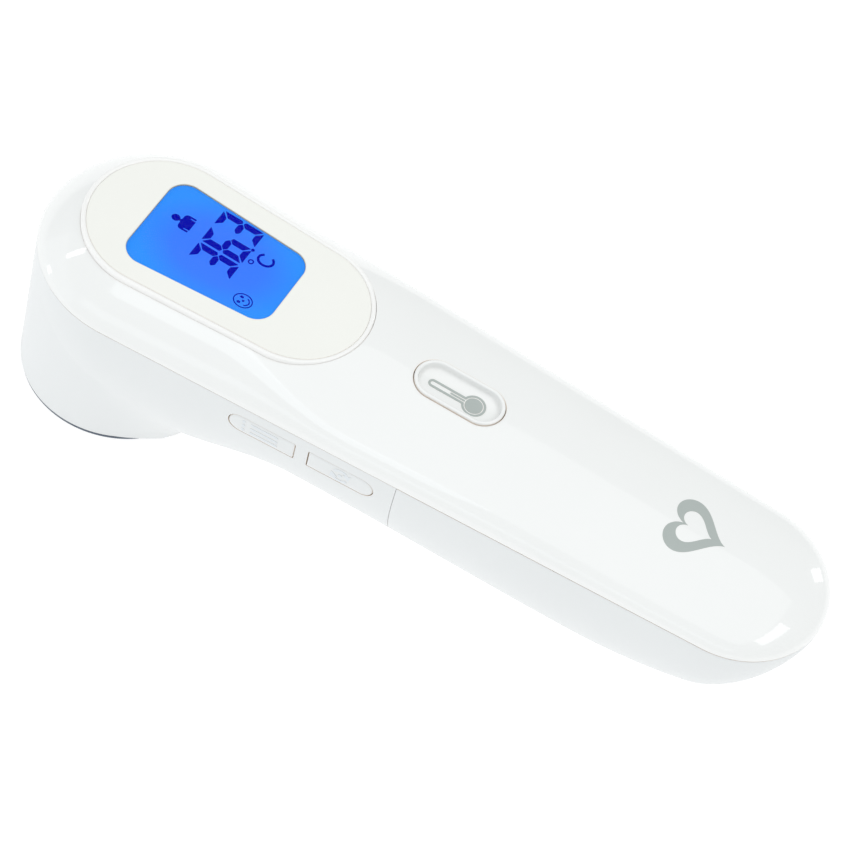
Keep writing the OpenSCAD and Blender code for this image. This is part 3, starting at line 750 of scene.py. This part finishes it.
def measure_hole():
    """Cutter for the measure button's hole, flared at its mouth so that its edge is round."""
    bottom = 3.0
    flare = [(0.0, -0.2), (0.02, -0.11), (0.07, -0.045), (0.14, -0.01), (0.22, 0.012), (0.9, 0.2)]

    def line(grow):
        wide = 2 * (MEASURE_GAP + grow)
        return stadium(MEASURE_X, MEASURE_LEN + wide, MEASURE_W + wide, 48)

    rings = [at(bottom)(line(0.0))]
    rings += [on_skin(line(grow), lift) for grow, lift in flare]
    rings.append(rings[-1] + (0, 0, 3))
    count = len(rings[0])
    faces = ring_faces(len(rings), count)
    last = (len(rings) - 1) * count
    faces += [tuple(range(count)), tuple(range(last, last + count))[::-1]]
    return loose("hole", np.concatenate(rings), faces)


def make_cover_bosses():
    """Screw bosses that hang from the cover, with their top ends inside its wall."""
    n, corner = BOSS_POINTS, 0.2
    parts = []
    for spots, seat in ((CASE_SPOTS, CASE_SEAT), (BOARD_SPOTS, BOARD_TOP), (TRAY_SPOTS, TRAY_SEAT)):
        for x, y in spots:
            rings = [
                at(seat)(circle(x, y, BOSS_R - corner, n)),
                at(seat + corner)(circle(x, y, BOSS_R, n)),
                on_skin(circle(x, y, BOSS_R + 0.1, n), -WALL / 2),
                on_skin(circle(x, y, PILOT_R, n), -WALL / 2),
                at(seat)(circle(x, y, PILOT_R, n)),
            ]
            parts.append((np.concatenate(rings), ring_faces(len(rings), n, closed=True)))
    new_piece("top_cover_bosses", *joined(parts), WHITE_SATIN, CASE, "shell_gloss")


def make_top_cover():
    cover = cover_skin()
    pocket = slab_part(plate_line(PLATE_GAP), at(PLATE_Z - PLATE_T), at(14))
    subtract(cover, loose("pocket", *pocket))
    x1, x2 = WINDOW_X - WINDOW_EDGE, WINDOW_X + WINDOW_LEN + WINDOW_EDGE
    half = WINDOW_FRONT + WINDOW_EDGE
    opening = slab_part([(x1, -half), (x2, -half), (x2, half), (x1, half)], at(2.5), at(PLATE_Z))
    subtract(cover, loose("opening", *opening))
    subtract(cover, measure_hole())
    bm = bmesh.new()
    bm.from_mesh(cover.data)
    bmesh.ops.remove_doubles(bm, verts=bm.verts, dist=WELD * MM)
    bmesh.ops.triangulate(bm, faces=[f for f in bm.faces if len(f.verts) > 4])
    bm.to_mesh(cover.data)
    bm.free()
    make_cover_bosses()
    cover.name = "top_cover_shell"
    dress(cover, WHITE_GLOSS, CASE, ("top_cover",), 30)


# ---------------- lower body
# side buttons: the two ends of each along x, their height and their corners' radius
MODE_X, MEMORY_X = (49.0, 61.8), (64.5, 77.2)
SIDE_Z, SIDE_H, SIDE_CORNER = -4.7, 4.6, 0.35
SIDE_GAP, SIDE_SPREAD = 0.045, 0.1
# the box that the lower skin is meshed in, and the size of a cell
NET_LOW, NET_HIGH, NET_STEP = (-2.25, -23.25, -37.0), (159, 23.25, 1.5), 0.5
# width and depth of the small chamfer at an open edge, and the mouth edge's own width
EDGE_RING, EDGE_CUT, MOUTH_RING = 0.18, 0.05, 0.25
EDGE_WELD, SEAM_GAP = 0.04, 0.06
# inner pieces: the shelves' thickness, the rails' heights, the tongue's thickness and lift
SHELF, RAIL_TOP, RAIL_LOW, TONGUE_T, TONGUE_LIFT = 2.0, -6.2, -8, 1.3, 0.3


def side_line(ends, grow, round_first, n=24):
    """Outline of a side button in (x, z): one round end, one square end with small corners."""
    r, c = SIDE_H / 2, SIDE_CORNER
    low, high = SIDE_Z - r + c, SIDE_Z + r - c
    x1, x2 = ends
    if round_first:
        parts = [
            arc(x1 + r, SIDE_Z, r + grow, 90, 270, n),
            arc(x2 - c, low, c + grow, 270, 360, 6),
            arc(x2 - c, high, c + grow, 0, 90, 6),
        ]
    else:
        parts = [
            arc(x2 - r, SIDE_Z, r + grow, -90, 90, n),
            arc(x1 + c, high, c + grow, 90, 180, 6),
            arc(x1 + c, low, c + grow, 180, 270, 6),
        ]
    return np.concatenate(parts)


def wall_y(x, z):
    """Where the near wall of the lower body is, at a place (x, z)."""
    far, near = np.full(len(x), -25.0), np.full(len(x), -8.0)
    for _ in range(30):
        mid = (far + near) / 2
        outside = lower_field(x, mid, z) > 0
        far, near = np.where(outside, mid, far), np.where(outside, near, mid)
    return far


def on_wall(line, depth_in):
    """An (x, z) outline's points at a depth into the near wall."""
    return upright(line, wall_y(*line.T) + depth_in)


def soften_edge(bm, test, amount):
    """Moves the vertices that pass the test in along their normals, as a small chamfer."""
    bm.normal_update()
    moves = [(v, v.normal.copy()) for v in bm.verts if test(v.co)]
    for v, n in moves:
        v.co -= n * amount


def face_outwards(bm, centre):
    """Turns all faces round if most of them look towards the centre."""
    bmesh.ops.recalc_face_normals(bm, faces=bm.faces)
    votes = [f.normal.dot(f.calc_center_median() - centre) > 0 for f in bm.faces]
    if 2 * sum(votes) < len(votes):
        bmesh.ops.reverse_faces(bm, faces=bm.faces)


def lower_half(whole, name, side, top, centre):
    """The skin on one side of the seam (1 is the nose's), up to a height, with a wall."""
    bm = whole.copy()
    edge = SEAM_X if side > 0 else SEAM_X + SEAM_GAP
    cut(bm, (edge, 0, 0), (side, 0, 0), True)
    if top:
        cut(bm, (0, 0, top), (0, 0, 1), True)
    cut(bm, (edge - side * EDGE_RING, 0, 0), (side, 0, 0), False)
    cut(bm, (0, 0, top - EDGE_RING), (0, 0, 1), False)
    if side > 0:
        cut(bm, (0, 0, MOUTH_RING - MOUTH_Z), (0, 0, -1), False)
    bmesh.ops.remove_doubles(bm, verts=bm.verts, dist=EDGE_WELD)

    def open_edge(p):
        return min(abs(p.z - top), abs(p.x - edge), abs(p.z + MOUTH_Z)) < 1e-4

    soften_edge(bm, open_edge, EDGE_CUT)
    face_outwards(bm, Vector(centre))
    bmesh.ops.triangulate(bm, faces=[f for f in bm.faces if len(f.verts) > 4])
    for v in bm.verts:
        v.co = Vector(to_row(v.co))
    skin = bpy.data.meshes.new(name)
    bm.to_mesh(skin)
    bm.free()
    obj = link(name, skin)
    mod = obj.modifiers.new("wall", "SOLIDIFY")
    mod.thickness, mod.offset, mod.use_rim = WALL * MM, -1, True
    graph = bpy.context.evaluated_depsgraph_get()
    thick = bpy.data.meshes.new_from_object(obj.evaluated_get(graph))
    obj.modifiers.clear()
    obj.data = thick
    return obj


def make_lower_body():
    verts, faces = surface_nets(lower_field, NET_LOW, NET_HIGH, NET_STEP)
    mesh = bpy.data.meshes.new("lower_skin")
    mesh.from_pydata(verts.tolist(), [], faces.tolist())
    whole = bmesh.new()
    whole.from_mesh(mesh)
    cut(whole, (0, 0, 0), (0, 0, 1), True)
    cut(whole, (0, 0, -MOUTH_Z), (0, 0, -1), True)
    shell = lower_half(whole, "lower_shell_skin", 1, 0.0, (21, 0, -18))
    cover = lower_half(whole, "battery_cover_skin", -1, -SEAM_GAP, (110, 0, -6))
    whole.free()
    for (x1, x2), round_first in ((MODE_X, True), (MEMORY_X, False)):
        line = side_line((x1 - SIDE_SPREAD, x2 + SIDE_SPREAD), SIDE_GAP, round_first)
        hole = slab_part(line, lambda p: upright(p, -25.0), lambda p: upright(p, -12.0))
        subtract(shell, loose("button_hole", *hole))
    shell.name, cover.name = "lower_shell_body", "battery_cover_body"
    dress(shell, WHITE_SATIN, CASE, ("lower_shell",), 30)
    dress(cover, WHITE_SATIN, "cover", ("battery_cover",), 30)


def make_shelves():
    """Shelves in the lower shell that the case screws pull against."""
    shelf = [(75.6, 11.4), (80.4, 11.4), (80.4, 17.4), (78.4, 17.6), (78.4, 15.0), (75.6, 15.0)]
    low, high = at(CASE_SEAT - SHELF), at(CASE_SEAT)
    parts = [slab_part(mirrored(shelf, side), low, high) for side in (-1, 1)]
    new_piece("lower_shell_shelves", *joined(parts), WHITE_SATIN, CASE, "shell_satin")


def make_rails():
    """The battery cover's two rails and its latch tongue, which reaches under the shell."""
    rail = [(100, 12.3), (136, 12.3), (136, 15.1), (100, 16.9)]
    parts = [slab_part(mirrored(rail, side), at(RAIL_LOW), at(RAIL_TOP)) for side in (-1, 1)]
    floor = -GRIP_DEPTH + WALL + TONGUE_LIFT
    wide, notch = 6, 2.5
    tip, end = SEAM_X - 3, SEAM_X + 3
    tongue = [
        (tip, -wide), (end, -wide), (end, wide), (tip, wide), (tip, notch),
        (tip + 1, notch), (tip + 1, -notch), (tip, -notch),
    ]
    root = [(end - 2, -wide), (end, -wide), (end, wide), (end - 2, wide)]
    parts.append(slab_part(tongue, at(floor), at(floor + TONGUE_T)))
    parts.append(slab_part(root, at(floor - TONGUE_T), at(floor + 0.01)))
    new_piece("battery_cover_rails", *joined(parts), WHITE_SATIN, "cover", "shell_satin")


# ---------------- display
WINDOW_MID = np.array([32.6, 0.0])
# heights over the plate's face: the lens's top and the bezel's underside
LENS_TOP, BEZEL_LOW = -0.38, -0.95
# added to the place of every mark on the display
MARK_SHIFT = (0.48, 0.08)


def make_bezel():
    """The raised bead and the cream plate. Profiles are (growth of an outline, height)."""
    angles = np.linspace(-np.pi, np.pi, 721)[:-1]

    def ring(outline, h):
        return at(PLATE_Z + h)(polar(outline, WINDOW_MID, angles))

    bead = [
        (0.0, BEZEL_LOW), (0.0, -0.25), (-0.04, -0.08), (-0.14, 0.06), (-0.3, 0.14), (-0.48, 0.16),
        (-0.66, 0.12), (-0.82, 0.04), (-0.89, -0.04), (-0.9, BEZEL_LOW),
    ]
    rings = [ring(plate_line(g), h) for g, h in bead]
    stack_piece("display_bead", rings, BEAD, CASE, "bezel_cream", closed=True)
    outer = [(-0.92, BEZEL_LOW), (-0.92, -0.06), (-0.94, -0.02), (-0.98, 0.0), (-1.3, 0.0)]
    inner = [(0.4, 0.0), (0.12, -0.005), (0.04, -0.03), (0.0, -0.1), (0.0, BEZEL_LOW)]
    outside = [ring(plate_line(g), h) for g, h in outer]
    inside = [ring(window_line(g), h) for g, h in inner]
    across = [mix(outside[-1], inside[0], t) for t in (0.25, 0.5, 0.75)]
    stack_piece(
        "display_plate", outside + across + inside, CREAM, CASE, "bezel_cream",
        closed=True, replaces=("display_bezel",),
    )


def make_lens():
    """The lit picture's lens, which fills the window from below, and the clear film over it."""
    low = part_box("display_window")[0].z / MM - JOINT
    top, shoulder = PLATE_Z + LENS_TOP, PLATE_Z - 1.05

    def rings(profile):
        return [at(z)(window_line(grow)) for grow, z in profile]

    lens = [(1.0, low), (1.0, shoulder), (-0.07, shoulder), (-0.07, top - 0.03), (-0.12, top)]
    film = [(-0.1, top + 0.08), (-0.06, top + 0.1), (-0.06, top + 0.16), (-0.1, top + 0.18)]
    stack_piece("display_lens", rings(lens), LCD, CASE, "display_blue", replaces=("display_window",))
    stack_piece("display_film", rings(film), PANE, CASE, "clear_window")
    # painted shade: a tan sheet on the opening's wall, standing in for the wall's dim warm shade
    high, low = PLATE_Z - 0.1, PLATE_Z - 0.9
    wall_shade = [(0.0, low), (0.0, high), (-0.05, high), (-0.05, low)]
    stack_piece("window_wall_shade", rings(wall_shade), RECESS_WALL_SHADE, CASE, "bezel_cream", closed=True)


def seven_segments(left, top, width, height, t, keys):
    """Digit segments as outlines in (x, y): x runs down the digit, y across it."""
    e, half, w = 0.15, height / 2, width
    flat = [(e + 0.1, 0), (w - e - 0.1, 0), (w - t - e, t), (t + e, t)]
    side = [
        (w, e + 0.12), (w, half - 0.32 * t), (w - 0.42 * t, half - 0.08),
        (w - t, half - t / 2 - e), (w - t, t + e),
    ]
    middle = [
        (e + 0.42 * t, half), (t + 0.08, half - t / 2), (w - t - 0.08, half - t / 2),
        (w - e - 0.42 * t, half), (w - t - 0.08, half + t / 2), (t + 0.08, half + t / 2),
    ]

    def flip(shape, across, down):
        return [(w - p if across else p, height - q if down else q) for p, q in shape]

    shapes = {
        "a": flat, "d": flip(flat, False, True), "b": side, "c": flip(side, False, True),
        "f": flip(side, True, False), "e": flip(side, True, True), "g": middle,
    }
    slant = 0.03
    out = []
    for key in keys:
        shape = [(top + q, left + p + slant * (half - q)) for p, q in shapes[key]]
        out.append(eased(np.array(shape), 0.1))
    return out


def eased(outline, reach):
    """The outline with each corner cut off, at most a distance from it."""
    out = []
    for a, b, c in zip(np.roll(outline, 1, axis=0), outline, np.roll(outline, -1, axis=0)):
        for q in (a, c):
            length = np.linalg.norm(q - b)
            out.append(mix(b, q, min(reach / length, 0.3)))
    return np.array(out)


def make_display_marks():
    top = PLATE_Z + LENS_TOP

    def lo(p):
        return at(top - 0.02)(p + MARK_SHIFT)

    def hi(p):
        return at(top + 0.03)(p + MARK_SHIFT)

    # number, with a dot before its last digit
    digit = dict(top=28.05, width=3.85, height=8.45, t=1.2)
    shapes = []
    for left, keys in ((-3.62, "abgcd"), (0.69, "afgecd"), (5.01, "abgcd")):
        shapes += seven_segments(left, keys=keys, **digit)
    shapes.append(circle(36.6, 4.44, 0.33))
    # degree sign and unit
    dx, dy = 37.6, 2.05
    bands = [(circle(dx, dy, 0.55), circle(dx, dy, 0.31))]
    shapes.append(open_band(39.6, 3.85, (1.68, 1.4), (1.22, 0.94), (125, 415)))
    # face: outline, eyes and nose, mouth
    fx, fy = 40.8, -6.05
    bands.append((circle(fx, fy, 1.82, 64, 1.52), circle(fx, fy, 1.62, 64, 1.32)))
    shapes += [circle(fx - 0.55, fy + side * 0.62, 0.36, 24, 0.25) for side in (-1, 1)]
    shapes.append(circle(fx + 0.05, fy, 0.22, 24))
    shapes.append(open_band(fx, fy, (1.3, 1.02), (1.08, 0.8), (-62, 62)))
    # person: head and torso
    py = 2.42
    shapes += [circle(21.95, py, 0.82, 40, 0.74), person_outline(23.05, py)]
    parts = [slab_part(shape, lo, hi) for shape in shapes]
    parts += [band_part(outer, inner, lo, hi) for outer, inner in bands]
    new_piece("display_marks", *joined(parts), LCD_INK, CASE, "display_blue", sharp=20)


def open_band(cx, cy, outer, inner, sweep, n=40):
    """Outline of a part of a ring, between two ellipses with the same middle."""
    a = arc(cx, cy, outer[0], *sweep, n, outer[1])
    b = arc(cx, cy, inner[0], *sweep, n, inner[1])
    return np.concatenate([a, b[::-1]])


def person_outline(x, y):
    """Head-and-shoulders pictogram's torso: neck, round shoulders and two short arms."""
    neck = [(-0.42, 0.2), (-0.05, 0.26), (0.0, 0.75)]
    shoulder = arc(0.75, 0.98, 0.75, 170, 90, 5)
    arm = [(2.15, 1.73), (2.22, 1.6), (2.15, 1.36), (1.2, 1.36), (1.2, 1.14), (2.3, 1.14)]
    half = np.concatenate([neck, shoulder, arm])
    return np.concatenate([half, half[::-1] * (1, -1)]) + (x, y)


# ---------------- buttons
# the thermometer mark in the measure button's dish
BULB_X, MARK_Y, MARK_LOW, MARK_TOP = 84.75, -0.18, 5.83, 5.92
# a side button: its edge's width, the travel behind it and its square post's half width
FACE_EDGE, TRAVEL, POST_HALF = 0.22, 0.4, 1.6
LIST_X, RECALL_X = 51.9, 70.9


def make_measure_button():
    """The cap: a flange below, a round edge and a dished face. (inset, height) from below."""
    profile = [
        (-0.9, 4.0), (-0.9, 4.75), (0.0, 4.75), (0.0, 7.12), (0.04, 7.27), (0.12, 7.37),
        (0.24, 7.42), (0.4, 7.43), (0.55, 7.4), (0.65, 7.33), (0.71, 7.22), (0.74, 7.05),
        (0.77, 6.7), (0.83, 6.42), (0.95, 6.22), (1.18, 6.06), (1.6, 5.94), (2.2, 5.88),
        (3.1, 5.85), (4.05, 5.85),
    ]

    def line(d):
        return stadium(MEASURE_X, MEASURE_LEN - 2 * d, MEASURE_W - 2 * d, 40)

    stack_piece(
        "measure_button_cap", [at(z)(line(d)) for d, z in profile], WHITE_GLOSS, "measure",
        "shell_gloss", replaces=("measure_button",),
    )


def make_measure_mark():
    """Thermometer pictogram: an outline, a filled bulb and a column."""

    def thermometer(r, w, end, n=40):
        a = math.degrees(math.asin(w / r))
        bulb = arc(BULB_X, MARK_Y, r, -180 + a, 180 - a, n)
        tip = arc(end + w, MARK_Y, w, 90, 270, 16)
        return np.concatenate([bulb, tip])

    lo, hi = at(MARK_LOW), at(MARK_TOP)
    parts = [
        band_part(thermometer(2.2, 0.82, 75.75), thermometer(1.8, 0.4, 76.17), lo, hi),
        slab_part(circle(BULB_X, MARK_Y, 1.6), lo, hi),
        slab_part(stadium(BULB_X - 3.2, 2.9, 0.3, 10) + (0, MARK_Y), lo, hi),
    ]
    new_piece("measure_mark", *joined(parts), PRINT_GREY, "measure", "plunger_grey")


def make_side_button(body, node, ends, round_first, marks):
    """A cap whose face follows the wall, its raised mark and the post that meets the plunger."""
    mid = sum(ends) / 2
    inner_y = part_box(node)[1].y / MM
    back = wall_y(np.array([mid]), np.array([SIDE_Z]))[0] + WALL + TRAVEL

    def flat(d, y):
        line = side_line(ends, d, round_first)
        return upright(line, y + SLOPE * (line[:, 0] - mid))

    def face(d, lift):
        return on_wall(side_line(ends, -d, round_first), -lift)

    rings = [flat(0.6, back + 0.65), flat(0.6, back), flat(0.0, back)]
    rings += [face(0.0, -0.3), face(0.03, -0.14), face(0.1, -0.04), face(FACE_EDGE, 0.02)]
    edge, core = side_line(ends, -FACE_EDGE, round_first), side_core(ends, round_first)
    rings += [on_wall(mix(edge, core, t), -0.02) for t in (0.25, 0.5, 0.75, 0.97)]
    stack_piece(
        body + "_button_cap", rings, WHITE_SATIN, body, "shell_satin", replaces=(node,)
    )

    parts = [
        slab_part(filled(m, 0.3), lambda p: on_wall(p, 0.05), lambda p: on_wall(p, -0.1))
        for m in marks
    ]
    new_piece(body + "_button_mark", *joined(parts), MARK_PALE, body, "shell_satin")
    corners = [(-1, -1), (1, -1), (1, 1), (-1, 1)]
    square = np.array([(mid + i * POST_HALF, SIDE_Z + j * POST_HALF) for i, j in corners])
    post = slab_part(square, lambda p: upright(p, back + 0.6), lambda p: upright(p, inner_y))
    new_piece(body + "_button_post", *post, WHITE_SATIN, body, "shell_satin")


def side_core(ends, round_first):
    """The line that the rings of a side button shrink to."""
    line = side_line(ends, 0, round_first)
    r = SIDE_H / 2
    x = np.clip(line[:, 0], ends[0] + r, ends[1] - r)
    return np.column_stack([x, np.full(len(x), SIDE_Z)])


def make_side_buttons():
    rows = (1.25, 0.0, -1.25)
    listing = [circle(LIST_X, SIDE_Z + r, 0.36, 20) for r in rows]
    listing += [stadium(LIST_X + 4, 5.4, 0.58, 8) + (0, SIDE_Z + r) for r in rows]
    make_side_button("mode", "mode_button", MODE_X, True, listing)
    # two curved arrows round a dot
    recall = []
    for turn in (20, 200):
        sweep = (turn, turn + 125)
        recall.append(open_band(RECALL_X, SIDE_Z, (1.8, 1.8), (1.25, 1.25), sweep, 24))
        head = arc(RECALL_X, SIDE_Z, 1.48, turn, turn, 1)
        recall.append(head + 0.95 * arc(0, 0, 1, turn - 90, turn + 150, 3))
    recall.append(circle(RECALL_X, SIDE_Z, 0.42, 20))
    make_side_button("memory", "memory_button", MEMORY_X, False, recall)


# ---------------- sensor mouth
def make_probe_rim():
    """Dark ring around the mouth, as (radius, height) over the ring's underside."""
    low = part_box("probe_ring")[0].z / MM - JOINT
    profile = [
        (14.2, 1.8), (14.2, 0.35), (14.3, 0.1), (14.5, 0.0), (18.15, 0.0), (18.4, 0.07),
        (18.52, 0.22), (18.55, 0.45), (18.55, 0.78), (16.5, 0.78), (16.5, 4.5), (15.2, 4.5),
        (15.2, 1.8),
    ]
    rings = [at(low + z)(circle(-NOSE, 0, r, 160)) for r, z in profile]
    stack_piece(
        "probe_rim", rings, RIM, CASE, "rim_slate", closed=True, replaces=("probe_ring",), sharp=40
    )


# ---------------- tail print
HEART_X = 128.0


def make_heart():
    """A heart outline that lies on the tail, with a corner at its notch and at its tip."""
    side = np.linspace(0.13, np.pi - 0.13, 58)
    t = np.concatenate([[0], side, [np.pi], side + np.pi])
    across = 16 * np.sin(t) ** 3
    along = -(13 * np.cos(t) - 5 * np.cos(2 * t) - 2 * np.cos(3 * t) - np.cos(4 * t))
    shape = np.column_stack([along, across]) / 32

    def heart(size, lift):
        return on_skin(shape * size + (HEART_X, 0), lift)

    sizes = [11.6, 10.4, 9.2, 8.0, 6.8]
    rings = [heart(s, 0.03) for s in sizes] + [heart(s, -0.05) for s in reversed(sizes)]
    stack_piece("tail_mark", rings, PRINT_GREY, CASE, "plunger_grey", closed=True, sharp=25)


# ---------------- build
make_lower_body()
make_shelves()
make_rails()
make_top_cover()
make_bezel()
make_lens()
make_display_marks()
make_measure_button()
make_measure_mark()
make_side_buttons()
make_probe_rim()
make_heart()

for node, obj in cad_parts.items():
    if node in ("battery_1", "battery_2"):
        low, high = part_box(node)
        ends = (low.x, high.x) if node == "battery_1" else (high.x, low.x)
        look = cell_jacket(node + "_jacket", ends)
    else:
        look = CAD_LOOKS.get(SAME_LOOK.get(node, node))
    if look:
        obj.data.materials.clear()
        obj.data.materials.append(look)


# ---------------- stage, light, camera
FLOOR_HALF, FLOOR_GAP = 3.0, 0.0003
SKY = (0.86, 0.93, 1.0)
HEAD, TAIL = Vector((0.012, -0.016, 0.042)), Vector((0.13, 0.0, 0.038))
MIDDLE, WHITE = Vector((0.06, 0.0, 0.03)), (1.0, 1.0, 1.0)
# aim, place from the aim, size, power and colour of each soft light, in metres and watts
LIGHTS = {
    "near_window": (HEAD, (-0.15, -0.58, 0.8), (0.3, 0.2), 0.27, SKY),
    "near_strip": (HEAD, (0.0, -0.86, 0.5), (1.3, 0.15), 0.42, SKY),
    "nose_fill": (HEAD, (-0.8, -0.35, 0.12), (0.8, 0.5), 0.45, SKY),
    "nose_window": (HEAD, (-0.8, -0.22, 0.47), (0.06, 0.2), 0.16, WHITE),
    "nose_lamp": (HEAD, (-0.93, -0.32, 0.02), (0.1, 0.14), 0.16, WHITE),
    "tail_window": (TAIL, (0.62, -0.02, 0.78), (0.5, 0.2), 0.85, WHITE),
    "far_window": (TAIL, (0.46, 0.85, 0.26), (0.12, 0.3), 0.3, WHITE),
    "overhead": (MIDDLE, (0.0, 0.0, 1.22), (1.6, 1.6), 5.5, WHITE),
}
# the camera, fitted to the photo: turn, height and roll in degrees, the rest in millimetres
CAM_AZ, CAM_EL, CAM_ROLL = 13.763, 54.235, 18.453
CAM_AIM, CAM_DIST, CAM_PAN = (75.0, 0.0, 0.0), 523.303, (-0.995, 4.892)
CAM_LENS, CAM_SENSOR = 127.06, 36.0


def make_stage():
    """Pale floor just below the object. It glows a little, so that it stays white."""
    mesh = bpy.data.meshes.new("floor")
    a = FLOOR_HALF
    mesh.from_pydata([(-a, -a, 0), (a, -a, 0), (a, a, 0), (-a, a, 0)], [], [(0, 1, 2, 3)])
    floor = link("floor", mesh)
    floor.location.z = cad_box[0][2] - FLOOR_GAP
    mat, tree, shader = new_look("pale_floor")
    tone = tinted(tree, mottle(tree, 2.0), (0.34,) * 3, (0.36,) * 3)
    feed(shader, "Base Color", tone)
    shader.inputs["Roughness"].default_value = 0.9
    shader.inputs["Specular IOR Level"].default_value = 0.0
    shader.inputs["Emission Color"].default_value = (1, 1, 1, 1)
    shader.inputs["Emission Strength"].default_value = 0.85
    mesh.materials.append(mat)


def make_lights():
    world = bpy.data.worlds.new("studio")
    world.use_nodes = True
    background = world.node_tree.nodes["Background"]
    background.inputs["Color"].default_value = (0.96, 0.99, 1.0, 1)
    background.inputs["Strength"].default_value = 0.68
    bpy.context.scene.world = world
    for name, (aim, away, size, power, color) in LIGHTS.items():
        data = bpy.data.lights.new(name, "AREA")
        data.shape = "RECTANGLE"
        data.size, data.size_y = size
        data.energy = power
        data.color = color
        light = link(name, data)
        light.location = aim + Vector(away)
        light.rotation_euler = (-Vector(away)).to_track_quat("-Z", "Y").to_euler()


def make_camera():
    a, e, roll = np.radians((CAM_AZ, CAM_EL, CAM_ROLL))
    back = np.array([math.sin(a) * math.cos(e), -math.cos(a) * math.cos(e), math.sin(e)])
    flat = np.cross([0, 0, 1], back)
    flat /= np.linalg.norm(flat)
    up = np.cross(back, flat)
    c, s = math.cos(roll), math.sin(roll)
    right, above = c * flat + s * up, c * up - s * flat
    place = to_row(CAM_AIM + CAM_DIST * back - CAM_PAN[0] * right - CAM_PAN[1] * above)
    data = bpy.data.cameras.new("camera")
    data.lens, data.sensor_width = CAM_LENS, CAM_SENSOR
    data.clip_start, data.clip_end = 0.01, 20
    camera = link("camera", data)
    turn = Matrix([right, above, back]).transposed().to_4x4()
    camera.matrix_world = Matrix.Translation(Vector(place)) @ turn
    bpy.context.scene.camera = camera


make_stage()
make_lights()
make_camera()
bpy.context.scene.view_settings.view_transform = "Standard"
